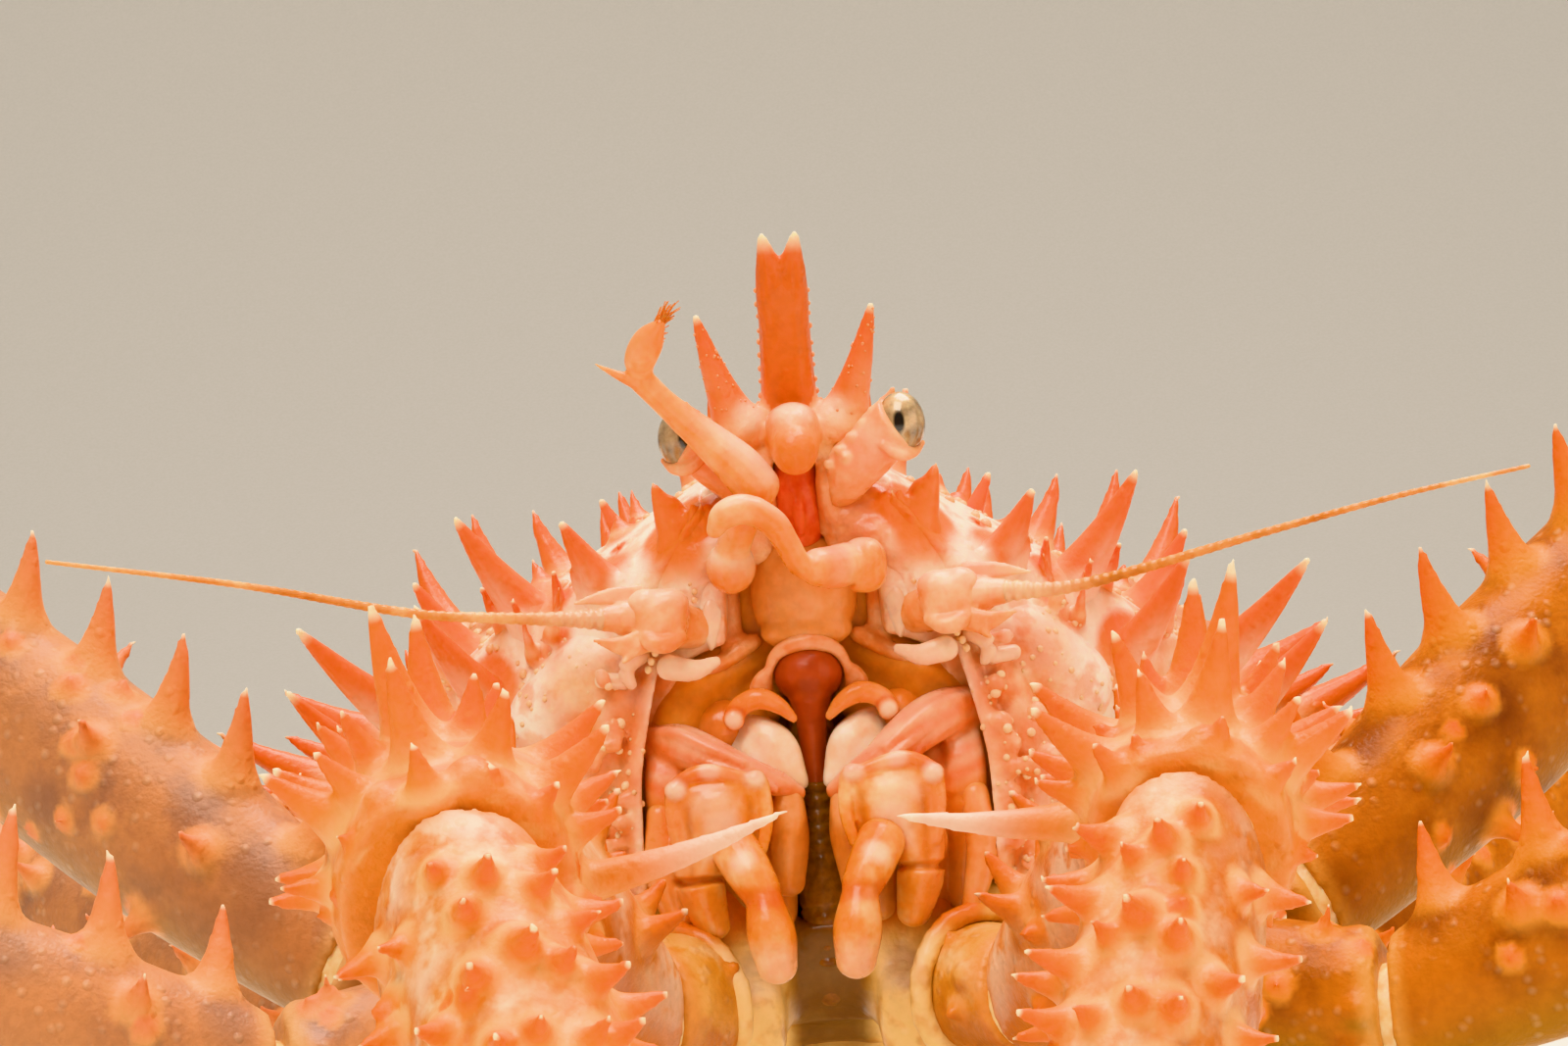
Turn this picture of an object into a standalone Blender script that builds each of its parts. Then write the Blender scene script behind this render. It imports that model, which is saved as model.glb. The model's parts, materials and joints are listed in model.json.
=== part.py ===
# Spiny king crab, life size: a still museum model standing on its walking legs with the head
# raised. It faces -Y with +Z up, and the origin is on the floor under the middle of its box.
# Lengths below are in millimetres; the mesh tools turn them into Blender's metres with MM.

import math
import random

import bmesh
import bpy
from mathutils import Matrix, Vector

# Driving dimensions
MM = 0.001
JOINT_GAP = 0.3                 # clear slit between two neighbouring pieces
FACE_HEIGHT = 90.0              # middle of the face above the floor
BODY_PITCH = math.radians(22)   # head raised
ROSTRUM_ROOT = Vector((0.0, 0.0, FACE_HEIGHT + 9.0))
ORIGIN_SHIFT = Vector((0.0, -37.0, 0.0))   # brings the middle of the box over the origin
SOCKET_ROOM = Vector((0.4, 0.4, 0.4))  # room round a ball in its socket
SPINE_SIDES = 5
SPINE_SINK = 1.2                # how deep the root of a spine reaches into its shell
SIDES = {"left": 1, "right": -1}

# Body stations, front to back: distance along the back, half width at the margin, height of
# the back, height of the margin, roundness of the dome, half width and height of the lower
# flank, half width and height of the breastplate
BODY_STATIONS = (
    (-1.0, 4.6, 1.0, -2.4, 1.3, 3.6, -3.4, 2.2, -4.2),
    (3.0, 10.0, 2.0, -8.6, 1.2, 9.4, -9.6, 6.0, -10.4),
    (8.0, 17.5, 2.6, -11.0, 1.2, 13.6, -17.0, 9.0, -21.0),
    (14.0, 25.0, 3.8, -12.0, 1.2, 17.0, -27.0, 10.0, -34.5),
    (20.0, 31.0, 5.6, -14.0, 1.2, 18.0, -34.0, 10.5, -45.0),
    (28.0, 35.5, 7.4, -15.0, 1.25, 19.0, -34.0, 11.0, -45.0),
    (38.0, 40.0, 8.0, -14.5, 1.4, 21.0, -33.0, 13.0, -43.0),
    (50.0, 44.5, 8.0, -13.5, 1.8, 23.0, -31.0, 15.0, -41.0),
    (62.0, 48.0, 8.6, -12.5, 2.0, 25.0, -29.0, 18.0, -39.0),
    (74.0, 49.5, 8.2, -12.0, 2.0, 27.0, -27.0, 20.0, -36.0),
    (84.0, 46.5, 6.4, -12.0, 2.0, 27.0, -25.0, 20.0, -32.0),
    (92.0, 40.0, 3.2, -12.5, 2.0, 25.0, -23.0, 18.0, -28.5),
    (98.0, 32.0, -1.0, -13.5, 2.0, 22.0, -20.0, 15.0, -24.5),
    (101.5, 22.0, -7.0, -14.0, 2.0, 17.0, -17.5, 10.0, -19.5),
)
DOME_POINTS = 6                 # points on each half of the dome
FLANK_POINTS = 3                # points on each half of the flank

# Swellings of the back: distance along the back, distance from the midline, height, radii
BACK_SWELLINGS = (
    (24.0, 0.0, 1.6, 10.0, 9.0),
    (64.0, 0.0, 1.8, 9.0, 8.0),
    (60.0, 27.0, 2.4, 17.0, 13.0),
    (80.0, 20.0, 1.6, 10.0, 10.0),
)

# Spines about the face, in mirrored pairs: root, tip, radius of the root.
# Heights are measured from the middle of the face.
FACE_SPINES = (
    ((4.5, 0.5, 8.6), (7.5, -3.0, 18.2), 1.8),         # beside the rostrum
    ((9.2, 2.0, -2.4), (12.1, -1.0, 4.2), 2.4),        # outer orbital, with its second point
    ((8.4, 1.4, -2.0), (8.9, -1.8, 2.2), 1.4),
    ((16.2, 4.2, -5.4), (20.2, 0.0, 1.6), 2.2),        # anterolateral
    ((20.8, 7.2, -6.6), (21.2, 4.2, -2.6), 0.9),
    ((22.6, 10.2, -7.8), (29.5, 4.6, 2.6), 2.5),       # hepatic
    ((23.4, 8.8, -9.2), (25.0, 4.6, -4.8), 0.9),
    ((13.0, 20.0, -4.2), (17.3, 17.0, 3.4), 1.7),
    ((26.4, 11.4, -15.4), (33.2, 1.0, -4.8), 2.5),
    ((32.4, 16.5, -17.6), (43.6, 3.0, -6.0), 2.8),
    ((36.4, 22.5, -21.4), (45.6, 12.0, -11.6), 2.4),
    ((29.4, 20.0, -10.2), (34.2, 16.0, -2.8), 1.9),
)
# Spines of the back, in mirrored pairs: distance along the back, distance from the midline,
# length, radius of the root, lean forwards and outwards
BACK_SPINES = (
    (19.0, 5.5, 7.0, 1.6, -0.35, 0.25),
    (31.0, 8.0, 10.0, 1.9, -0.15, 0.30),
    (31.0, 21.0, 7.5, 1.7, -0.30, 0.45),
    (40.0, 14.5, 6.5, 1.5, -0.10, 0.30),
    (45.0, 27.0, 10.5, 1.9, -0.20, 0.35),
    (47.0, 5.0, 5.5, 1.4, 0.00, 0.15),
    (55.0, 17.0, 8.0, 1.7, -0.05, 0.20),
    (60.0, 33.0, 11.0, 2.0, -0.10, 0.40),
    (62.0, 6.0, 10.0, 1.9, 0.00, 0.20),
    (69.0, 24.0, 9.0, 1.8, 0.05, 0.25),
    (75.0, 36.0, 9.0, 1.8, 0.05, 0.45),
    (77.0, 11.0, 7.0, 1.6, 0.15, 0.20),
    (84.0, 24.0, 9.5, 1.8, 0.20, 0.30),
    (90.0, 8.0, 7.5, 1.6, 0.30, 0.15),
    (93.0, 20.0, 7.0, 1.5, 0.40, 0.30),
)
# Spines of the margin, in mirrored pairs: distance along the back, length, radius, lean
# forwards
MARGIN_SPINES = (
    (36.0, 11.0, 2.1, -0.55),
    (44.0, 8.0, 1.7, -0.40),
    (51.0, 13.0, 2.2, -0.35),
    (59.0, 8.5, 1.8, -0.15),
    (66.0, 13.5, 2.2, -0.05),
    (73.0, 8.5, 1.8, 0.10),
    (80.0, 12.5, 2.1, 0.30),
    (87.0, 8.0, 1.7, 0.55),
    (93.5, 11.0, 1.9, 0.85),
    (99.0, 7.0, 1.6, 1.30),
)

# The limbs: the joints from the body outwards, left side
LEGS = {
    "leg1": ((17, 13, 53), (48, 3, 44.5), (114, -16, 70), (138, -24, 66), (170, -36, 24), (183, -41, -3)),
    "leg2": ((19, 27, 47), (43, 20, 54), (92, 48, 92), (116, 62, 88), (152, 86, 34), (165, 94, -3)),
    "leg3": ((20, 42, 42), (41, 55, 38), (80, 96, 58), (97, 115, 60), (121, 147, 26), (129, 157, -3)),
}
# Half height and half width of a leg at its segments' thickest
LEG_GIRTHS = {
    "coxa": (6.6, 6.2),
    "merus": (8.8, 6.8),
    "carpus": (7.4, 6.6),
    "propodus": (5.2, 4.8),
    "dactyl": (3.2, 3.0),
}
LEG_SCALE = {"leg1": 0.97, "leg2": 1.0, "leg3": 0.92}
# Share of the girth at stations along each segment
GIRTH_PROFILES = {
    "coxa": ((-0.12, 0.95), (0.25, 1.0), (0.5, 0.86), (0.8, 0.98), (1.12, 0.92)),
    "merus": ((-0.08, 0.62), (0.1, 0.82), (0.35, 1.0), (0.7, 0.98), (0.9, 0.94), (1.08, 0.8)),
    "carpus": ((-0.2, 0.66), (0.15, 0.8), (0.6, 1.0), (0.86, 1.0), (1.2, 0.76)),
    "propodus": ((-0.1, 0.86), (0.12, 1.06), (0.45, 0.98), (0.8, 0.88), (1.1, 0.78)),
    "dactyl": ((-0.15, 0.96), (0.1, 1.05), (0.4, 0.82), (0.7, 0.58), (0.9, 0.36), (1.02, 0.22)),
}
SEGMENTS = ("coxa", "merus", "carpus", "propodus", "dactyl")
LEG_RING_SIDES = 8
# Rows of spines on each segment: angle from the upper edge towards the front, first and last
# station, number, length and radius
SPINE_ROWS = {
    "coxa": ((20, 0.55, 0.8, 2, 4.0, 1.2),),
    "merus": ((8, 0.12, 0.93, 7, 8.6, 2.0), (62, 0.2, 0.9, 4, 5.0, 1.4), (128, 0.25, 0.86, 3, 5.0, 1.4),
              (-58, 0.25, 0.9, 3, 5.2, 1.4)),
    "carpus": ((6, 0.3, 0.85, 3, 7.4, 1.8), (70, 0.35, 0.85, 2, 5.0, 1.4), (-65, 0.4, 0.85, 2, 5.0, 1.4)),
    "propodus": ((5, 0.12, 0.85, 5, 4.6, 1.3), (75, 0.2, 0.8, 3, 3.8, 1.1), (-80, 0.2, 0.8, 3, 3.8, 1.1),
                 (175, 0.3, 0.7, 2, 3.4, 1.0)),
    "dactyl": ((0, 0.12, 0.45, 2, 2.4, 0.8),),
}

# The claw-bearing limbs: joints from the body outwards, left side; the right claw is larger
CHELIPED_JOINTS = ((11.5, 0, 50), (17, -9, 49), (29, -34, 66), (27.5, -55, 64), (20, -72, 40), (12, -81, 16))
CHELIPED_SCALE = {"left": 0.92, "right": 1.08}
CHELIPED_GIRTHS = {"coxa": (6.0, 5.6), "merus": (7.6, 7.0), "carpus": (9.4, 8.8), "palm": (9.6, 7.2)}
CHELIPED_PROFILES = {
    "coxa": ((-0.2, 0.9), (0.3, 1.0), (0.7, 0.96), (1.2, 0.9)),
    "merus": ((-0.1, 0.66), (0.15, 0.84), (0.5, 1.0), (0.85, 1.02), (1.1, 0.9)),
    "carpus": ((-0.25, 0.72), (0.15, 0.92), (0.55, 1.04), (0.9, 0.96), (1.25, 0.8)),
    "palm": ((-0.12, 0.72), (0.15, 0.9), (0.5, 1.0), (0.8, 0.96), (1.0, 0.8)),
}
CHELIPED_ROWS = {
    "coxa": (),
    "merus": ((0, 0.3, 0.92, 3, 6.0, 1.6), (70, 0.4, 0.9, 2, 4.6, 1.4), (-70, 0.4, 0.9, 2, 4.6, 1.4)),
    "carpus": ((12, 0.15, 0.8, 3, 10.5, 2.3), (-42, 0.3, 0.8, 2, 7.5, 1.9), (62, 0.3, 0.8, 2, 7.5, 1.9)),
    "palm": ((10, 0.15, 0.85, 4, 5.6, 1.5), (62, 0.2, 0.8, 3, 4.6, 1.3), (-60, 0.2, 0.8, 3, 4.6, 1.3)),
}
INNER_SPINE_LENGTH = {"left": 11.5, "right": 16.5}   # long spine on the inner side of the carpus
FINGER_RADIUS = 3.3

# The face
EYE_ROOT = Vector((2.5, 0.4, 3.2))
EYE_END = Vector((10.6, -0.9, 8.3))
CORNEA_CENTRE = Vector((9.5, -1.6, 7.7))
CORNEA_SIZE = Vector((2.0, 2.0, 2.75))
CORNEA_FACING = Vector((0.72, -0.68, 0.12))
ROSTRUM = ((0.0, 2.5, 8.4), (0.0, -6.0, 22.0))
ROSTRUM_PRONG = ((1.0, -5.2, 20.6), (1.3, -6.9, 22.9), (1.5, -8.2, 24.7))
BASAL_SPINE = ((0.0, -3.6, 7.0), (2.35, 6.6, 3.1))      # middle and half sizes
BASAL_BALL = Vector((2.1, 2.2, 2.3))    # first piece of each antennule
BASAL_PLACE = {"left": Vector((5.4, -2.2, -3.4)), "right": Vector((5.4, -2.2, -3.2))}
KNOB_SIZE = Vector((2.5, 2.4, 2.5))      # rounded piece of each antenna
KNOB_PLACE = Vector((11.9, -1.8, -7.4))
LABRUM_CENTRE = Vector((0.0, 2.0, -12.8))
LABRUM_SIZE = Vector((3.1, 3.2, 2.5))
MANDIBLE_CENTRE = Vector((3.9, 2.6, -19.0))
MANDIBLE_SIZE = Vector((3.2, 3.6, 2.7))
MOUTH_TOP = -10.0               # upper edge of the mouth frame, from the middle of the face
MOUTH_BOTTOM = -34.0
MOUTH_DEPTH = 9.0
FLAP_EDGE = ((12.6, -1.6, -11.6), (14.6, -2.4, -20.4), (14.8, -2.4, -28.0))
FLAP_BACK = ((17.0, 6.0, -12.0), (21.0, 7.0, -21.0), (20.0, 6.0, -29.5))

SHELL_RED = (0.78, 0.16, 0.045, 1.0)
SHELL_ORANGE = (0.82, 0.30, 0.10, 1.0)
SHELL_CREAM = (0.95, 0.72, 0.50, 1.0)
SHELL_PEACH = (0.92, 0.48, 0.28, 1.0)
LABRUM_RED = (0.50, 0.06, 0.02, 1.0)
MANDIBLE_IVORY = (0.93, 0.86, 0.74, 1.0)
CORNEA_GREY = (0.34, 0.30, 0.26, 1.0)


# Collections and materials

def clear_scene():
    for item in list(bpy.data.objects):
        bpy.data.objects.remove(item, do_unlink=True)


def new_collection(name):
    collection = bpy.data.collections.new(name)
    bpy.context.scene.collection.children.link(collection)
    return collection


def make_material(name, color, roughness):
    material = bpy.data.materials.new(name)
    material.use_nodes = True
    shader = material.node_tree.nodes["Principled BSDF"]
    shader.inputs["Base Color"].default_value = color
    shader.inputs["Roughness"].default_value = roughness
    shader.inputs["Metallic"].default_value = 0.0
    return material


# Mesh tools

def make_object(name, bm, collection):
    mesh = bpy.data.meshes.new(name)
    bm.to_mesh(mesh)
    bm.free()
    item = bpy.data.objects.new(name, mesh)
    collection.objects.link(item)
    return item


def lofted(rings):
    """Closed body through rings of points that all have the same number of points."""
    bm = bmesh.new()
    loops = [[bm.verts.new(point * MM) for point in ring] for ring in rings]
    for first, second in zip(loops, loops[1:]):
        for i in range(len(first)):
            j = (i + 1) % len(first)
            bm.faces.new((first[i], first[j], second[j], second[i]))
    bm.faces.new(list(reversed(loops[0])))
    bm.faces.new(loops[-1])
    bmesh.ops.recalc_face_normals(bm, faces=bm.faces)
    bmesh.ops.triangulate(bm, faces=bm.faces)
    return bm


def ellipse(centre, across, along, sides, turn=0.0):
    """Ring of points round a centre, from its two half axes."""
    step = 2 * math.pi / sides
    return [centre + across * math.cos(turn + i * step) + along * math.sin(turn + i * step)
            for i in range(sides)]


def axes_of(direction, up=Vector((0, 0, 1))):
    """Up and side directions square to a limb's direction."""
    direction = direction.normalized()
    upward = up - direction * up.dot(direction)
    if upward.length < 0.05:
        upward = Vector((0, -1, 0)) - direction * direction.y * -1
    upward.normalize()
    return upward, direction.cross(upward).normalized()


def tube(points, radii, sides=8, flat=1.0, up=Vector((0, 0, 1))):
    """Body of changing thickness along a run of points; flat narrows it sideways."""
    rings = []
    for i, point in enumerate(points):
        before = points[max(i - 1, 0)]
        after = points[min(i + 1, len(points) - 1)]
        upward, side = axes_of(after - before, up)
        rings.append(ellipse(point, side * radii[i] * flat, upward * radii[i], sides))
    return lofted(rings)


def ball(centre, size, turn=None, segments=10, rings=6):
    bm = bmesh.new()
    bmesh.ops.create_uvsphere(bm, u_segments=segments, v_segments=rings, radius=1.0)
    place = Matrix.Translation(centre * MM) @ (turn or Matrix.Identity(4))
    place = place @ Matrix.Diagonal((size * MM).to_4d())
    bmesh.ops.transform(bm, matrix=place, verts=bm.verts)
    return bm


def spine(root, tip, radius, sides=SPINE_SIDES, sink=SPINE_SINK):
    """Cone whose root is sunk into the shell."""
    direction = (tip - root).normalized()
    start = root - direction * sink
    length = (tip - start).length
    bm = bmesh.new()
    bmesh.ops.create_cone(bm, cap_ends=True, segments=sides, radius1=radius * MM, radius2=0.0,
                          depth=length * MM)
    turn = direction.to_track_quat("Z", "Y").to_matrix().to_4x4()
    bmesh.ops.transform(bm, matrix=Matrix.Translation((start + tip) / 2 * MM) @ turn, verts=bm.verts)
    return bm


def cut_square(item, place, outward):
    """Cuts a body at a plane, drops what lies beyond it and closes the cut."""
    bm = bmesh.new()
    bm.from_mesh(item.data)
    bmesh.ops.bisect_plane(bm, geom=bm.verts[:] + bm.edges[:] + bm.faces[:], dist=1e-7,
                           plane_co=place * MM, plane_no=outward, clear_outer=True)
    edges = [edge for edge in bm.edges if edge.is_boundary]
    if edges:
        bmesh.ops.contextual_create(bm, geom=edges)
    bmesh.ops.recalc_face_normals(bm, faces=bm.faces)
    bmesh.ops.triangulate(bm, faces=bm.faces)
    bm.to_mesh(item.data)
    bm.free()


def closed_pieces(bm):
    """Faces of each closed surface in a mesh, the one with most faces first."""
    left = set(bm.faces)
    pieces = []
    while left:
        stack = [left.pop()]
        piece = list(stack)
        while stack:
            for edge in stack.pop().edges:
                for face in edge.link_faces:
                    if face in left:
                        left.remove(face)
                        piece.append(face)
                        stack.append(face)
        pieces.append(piece)
    return sorted(pieces, key=len, reverse=True)


def keep_piece(item, index=0):
    """Leaves only one of the closed pieces of an object, counted from the largest."""
    bm = bmesh.new()
    bm.from_mesh(item.data)
    for other, piece in enumerate(closed_pieces(bm)):
        if other != index:
            bmesh.ops.delete(bm, geom=piece, context="FACES")
    bm.to_mesh(item.data)
    bm.free()


def combine(item, shapes, operation):
    """One Boolean of an object with a collection of closed shapes, applied."""
    if not shapes:
        return
    group = new_collection("shapes")
    for index, shape in enumerate(shapes):
        other = make_object("shape%03d" % index, shape, group)
        other.hide_render = True
    modifier = item.modifiers.new("combine", "BOOLEAN")
    modifier.operation = operation
    modifier.operand_type = "COLLECTION"
    modifier.collection = group
    modifier.solver = "MANIFOLD"
    evaluated = item.evaluated_get(bpy.context.evaluated_depsgraph_get())
    mesh = bpy.data.meshes.new_from_object(evaluated)
    item.modifiers.remove(modifier)
    item.data = mesh
    for other in list(group.objects):
        bpy.data.objects.remove(other, do_unlink=True)
    bpy.data.collections.remove(group)


def finish(item, material, index=0):
    """Keeps one closed piece, merges its needle edges and gives it the material."""
    keep_piece(item, index)
    bm = bmesh.new()
    bm.from_mesh(item.data)
    bmesh.ops.dissolve_degenerate(bm, edges=bm.edges, dist=2e-5)
    bmesh.ops.triangulate(bm, faces=bm.faces)
    bm.to_mesh(item.data)
    bm.free()
    item.data.materials.clear()
    item.data.materials.append(material)


# The body

def body_point(along, across, height):
    """From distance along the back, distance from the midline and height to the model."""
    forward = Vector((0, math.cos(BODY_PITCH), -math.sin(BODY_PITCH)))
    upward = Vector((0, math.sin(BODY_PITCH), math.cos(BODY_PITCH)))
    return ROSTRUM_ROOT + forward * along + upward * height + Vector((across, 0, 0))


def face_point(values, side=1):
    """From a place about the middle of the face to the model."""
    return Vector((values[0] * side, values[1], values[2] + FACE_HEIGHT))


def station_at(along):
    """Body station at any distance along the back, between the listed ones."""
    first, last = BODY_STATIONS[0], BODY_STATIONS[-1]
    along = min(max(along, first[0]), last[0])
    for lower, upper in zip(BODY_STATIONS, BODY_STATIONS[1:]):
        if along <= upper[0]:
            share = (along - lower[0]) / (upper[0] - lower[0])
            return [a + (b - a) * share for a, b in zip(lower, upper)]
    return list(last)


def back_height(along, across):
    """Height of the back at a distance along it and from the midline."""
    _, width, top, margin, roundness = station_at(along)[:5]
    share = min(abs(across) / width, 1.0)
    height = margin + (top - margin) * (1 - share ** roundness) ** (1 / roundness)
    for centre, middle, rise, length, breadth in BACK_SWELLINGS:
        offset = ((along - centre) / length) ** 2 + ((abs(across) - middle) / breadth) ** 2
        height += rise * math.exp(-offset)
    return height


def body_ring(station):
    along, width, _, margin, _, flank_width, flank, breast_width, breast = station
    half = []
    for i in range(DOME_POINTS):
        across = width * math.sin(math.pi / 2 * i / DOME_POINTS)
        half.append((across, back_height(along, across)))
    half.append((width, margin))
    for i in range(1, FLANK_POINTS):
        share = i / FLANK_POINTS
        bow = 2.2 * math.sin(math.pi * share)
        half.append((width + (flank_width - width) * share + bow, margin + (flank - margin) * share - bow))
    half.append((flank_width, flank))
    half.append((breast_width, breast + 0.8))
    right = [body_point(along, across, height) for across, height in half]
    left = [body_point(along, -across, height) for across, height in half[1:]]
    return right + [body_point(along, 0, breast)] + list(reversed(left))


def slab(path, half_width):
    """Thin bent plate, square to the midline plane, that parts two pieces of the body."""
    rings = []
    for i, point in enumerate(path):
        before = path[max(i - 1, 0)]
        after = path[min(i + 1, len(path) - 1)]
        direction = (after - before).normalized()
        normal = Vector((0, -direction.z, direction.y)) * JOINT_GAP / 2
        across = Vector((half_width, 0, 0))
        rings.append([point - across - normal, point + across - normal,
                      point + across + normal, point - across + normal])
    return lofted(rings)


def carapace_spines():
    shapes = []
    for side in (1, -1):
        for root, tip, radius in FACE_SPINES:
            shapes.append(spine(face_point(root, side), face_point(tip, side), radius))
        for along, across, length, radius, lean, spread in BACK_SPINES:
            root = body_point(along, across * side, back_height(along, across))
            aim = body_point(along + lean * length, (across + spread * length) * side,
                             back_height(along, across) + length)
            tip = root + (aim - root).normalized() * length
            shapes.append(spine(root, tip, radius))
        for along, length, radius, lean in MARGIN_SPINES:
            _, width, _, margin = station_at(along)[:4]
            root = body_point(along, (width - 1.0) * side, margin + 1.0)
            aim = body_point(along + lean * length, (width + length) * side, margin + 0.55 * length)
            tip = root + (aim - root).normalized() * length
            shapes.append(spine(root, tip, radius))
    return shapes


def rostrum_shapes():
    root, fork = (face_point(values) for values in ROSTRUM)
    shaft = [root, root.lerp(fork, 0.3), root.lerp(fork, 0.7), fork]
    shapes = [tube(shaft, (2.6, 2.1, 1.8, 1.65), sides=8, flat=1.14, up=Vector((0, -1, 0)))]
    for side in (1, -1):
        prong = [face_point(values, side) for values in ROSTRUM_PRONG]
        shapes.append(tube(prong, (1.15, 0.95, 0.35), sides=6, up=Vector((0, -1, 0))))
        shapes.append(ball(face_point((3.9, 0.6, 8.2), side), Vector((2.3, 2.3, 2.3)), None, 8, 6))
    middle, size = BASAL_SPINE
    shapes.append(ball(face_point(middle), Vector(size), None, 10, 8))
    return shapes


def flap_shapes():
    """The sharp-edged flaps of shell beside the mouth."""
    shapes = []
    for side in (1, -1):
        rings = []
        for edge, back in zip(FLAP_EDGE, FLAP_BACK):
            front = face_point(edge, side)
            rear = face_point(back, side)
            inner = front + Vector((0.4 * side, 1.6, 0))
            outer = front + Vector((1.6 * side, 0.8, 0))
            rings.append([front, outer, rear, rear + Vector((-3.0 * side, 2.0, 0)), inner])
        shapes.append(lofted(rings))
    return shapes


def mouth_cavity():
    rings = []
    levels = ((MOUTH_TOP, 7.5), (MOUTH_TOP - 2.0, 11.0), (-20.0, 12.8), (-28.0, 12.8), (MOUTH_BOTTOM, 11.5))
    for level, width in levels:
        rings.append([face_point((x, y, level)) for x, y in
                      ((-width, -14.0), (width, -14.0), (width - 1.0, MOUTH_DEPTH - 2.5),
                       (width * 0.5, MOUTH_DEPTH), (-width * 0.5, MOUTH_DEPTH), (-width + 1.0, MOUTH_DEPTH - 2.5))])
    return lofted(rings)


def abdomen_shape():
    """The tail, broad and folded forwards under the body."""
    stations = ((99.0, -16.0, 15.0, 4.0), (103.0, -19.0, 18.0, 4.5), (105.0, -26.0, 22.0, 4.6),
                (100.0, -32.0, 24.0, 4.8), (90.0, -35.5, 24.0, 5.0), (76.0, -40.0, 21.0, 5.2),
                (62.0, -43.0, 17.0, 5.0), (54.0, -44.5, 11.0, 4.4), (49.0, -45.0, 5.0, 3.4))
    points = [body_point(along, 0, height) for along, height, _, _ in stations]
    rings = []
    for i, (_, _, width, thickness) in enumerate(stations):
        direction = points[min(i + 1, len(points) - 1)] - points[max(i - 1, 0)]
        normal = Vector((1, 0, 0)).cross(direction).normalized()
        rings.append(ellipse(points[i], Vector((width, 0, 0)), normal * thickness, 14))
    return lofted(rings)


def make_body(parts, materials, sockets):
    body = make_object("body", lofted([body_ring(station) for station in BODY_STATIONS]), parts)
    combine(body, rostrum_shapes() + flap_shapes() + [abdomen_shape()] + carapace_spines(), "UNION")
    shell_slab = slab([Vector((0, -30, FACE_HEIGHT - 31.5)), Vector((0, 14, FACE_HEIGHT - 31.5)),
                       body_point(30, 0, -21), body_point(60, 0, -18), body_point(94, 0, -13.5),
                       body_point(130, 0, -12.5)], 80)
    tail_slab = slab([body_point(40, 0, -70), body_point(47, 0, -40.2), body_point(62, 0, -37.4),
                      body_point(76, 0, -34), body_point(88, 0, -29.5), body_point(97, 0, -24),
                      body_point(98.2, 0, -17), body_point(99, 0, -12)], 60)
    combine(body, [mouth_cavity(), shell_slab, tail_slab] + sockets, "DIFFERENCE")
    split_body(body, parts, materials)


def split_body(body, parts, materials):
    """Parts the cut body into shell, breast and tail."""
    bm = bmesh.new()
    bm.from_mesh(body.data)
    middles = []
    for piece in closed_pieces(bm)[:3]:
        middles.append(sum((face.calc_center_median() for face in piece), Vector()) / len(piece))
    bm.free()
    highest = max(range(3), key=lambda i: middles[i].z)
    rearmost = max((i for i in range(3) if i != highest), key=lambda i: middles[i].y)
    names = {highest: "carapace", rearmost: "abdomen", 3 - highest - rearmost: "thorax"}
    for index, name in names.items():
        item = bpy.data.objects.new(name, body.data.copy())
        parts.objects.link(item)
        finish(item, materials[name], index)
    bpy.data.objects.remove(body, do_unlink=True)


# The limbs

def mirrored(points, side):
    return [Vector((x * side, y, z)) for x, y, z in points]


def joint_normal(points, index):
    """Direction square to the joint between two segments."""
    before = (points[index] - points[index - 1]).normalized() if index > 0 else None
    after = (points[index + 1] - points[index]).normalized() if index + 1 < len(points) else None
    if before is None:
        return after
    if after is None:
        return before
    return (before + after).normalized()


def segment_rings(start, end, profile, girth, scale, sides, grow=0.0):
    upward, side = axes_of(end - start)
    rings = []
    for station, share in profile:
        centre = start + (end - start) * station
        rings.append(ellipse(centre, side * (girth[1] * share * scale + grow),
                             upward * (girth[0] * share * scale + grow), sides, math.pi / sides))
    return rings


def profile_at(profile, station):
    for lower, upper in zip(profile, profile[1:]):
        if station <= upper[0]:
            share = (station - lower[0]) / (upper[0] - lower[0])
            return lower[1] + (upper[1] - lower[1]) * share
    return profile[-1][1]


def row_spines(name, start, end, profile, girth, scale, rows):
    """Rows of spines along a segment, varied a little in place, lean and size."""
    upward, side = axes_of(end - start)
    run = (end - start).normalized()
    if side.y > 0:
        side = -side
    draw = random.Random(name)
    shapes = []
    for angle, first, last, count, length, radius in rows:
        for i in range(count):
            share = first + (last - first) * (i / (count - 1) if count > 1 else 0.5)
            turn = math.radians(angle + draw.uniform(-7, 7))
            station = share + draw.uniform(-0.015, 0.015)
            size = draw.uniform(0.78, 1.12) * (0.8 + 0.3 * math.sin(math.pi * share))
            girth_share = profile_at(profile, station) * scale
            out = upward * math.cos(turn) * girth[0] + side * math.sin(turn) * girth[1]
            root = start + (end - start) * station + out * girth_share
            aim = (out.normalized() + run * draw.uniform(0.1, 0.34)).normalized()
            shapes.append(spine(root, root + aim * length * size, radius * min(size, 1.0)))
    return shapes


def make_segment(name, joints, index, part, profiles, girths, rows, scale, parts, material):
    start, end = joints[index], joints[index + 1]
    rings = segment_rings(start, end, profiles[part], girths[part], scale, LEG_RING_SIDES)
    item = make_object(name, lofted(rings), parts)
    cut_square(item, start + joint_normal(joints, index) * JOINT_GAP / 2, -joint_normal(joints, index))
    if index + 2 < len(joints):
        cut_square(item, end - joint_normal(joints, index + 1) * JOINT_GAP / 2, joint_normal(joints, index + 1))
    combine(item, row_spines(name.replace("right", "left"), start, end, profiles[part], girths[part],
                             scale, rows[part]), "UNION")
    return item


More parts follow.
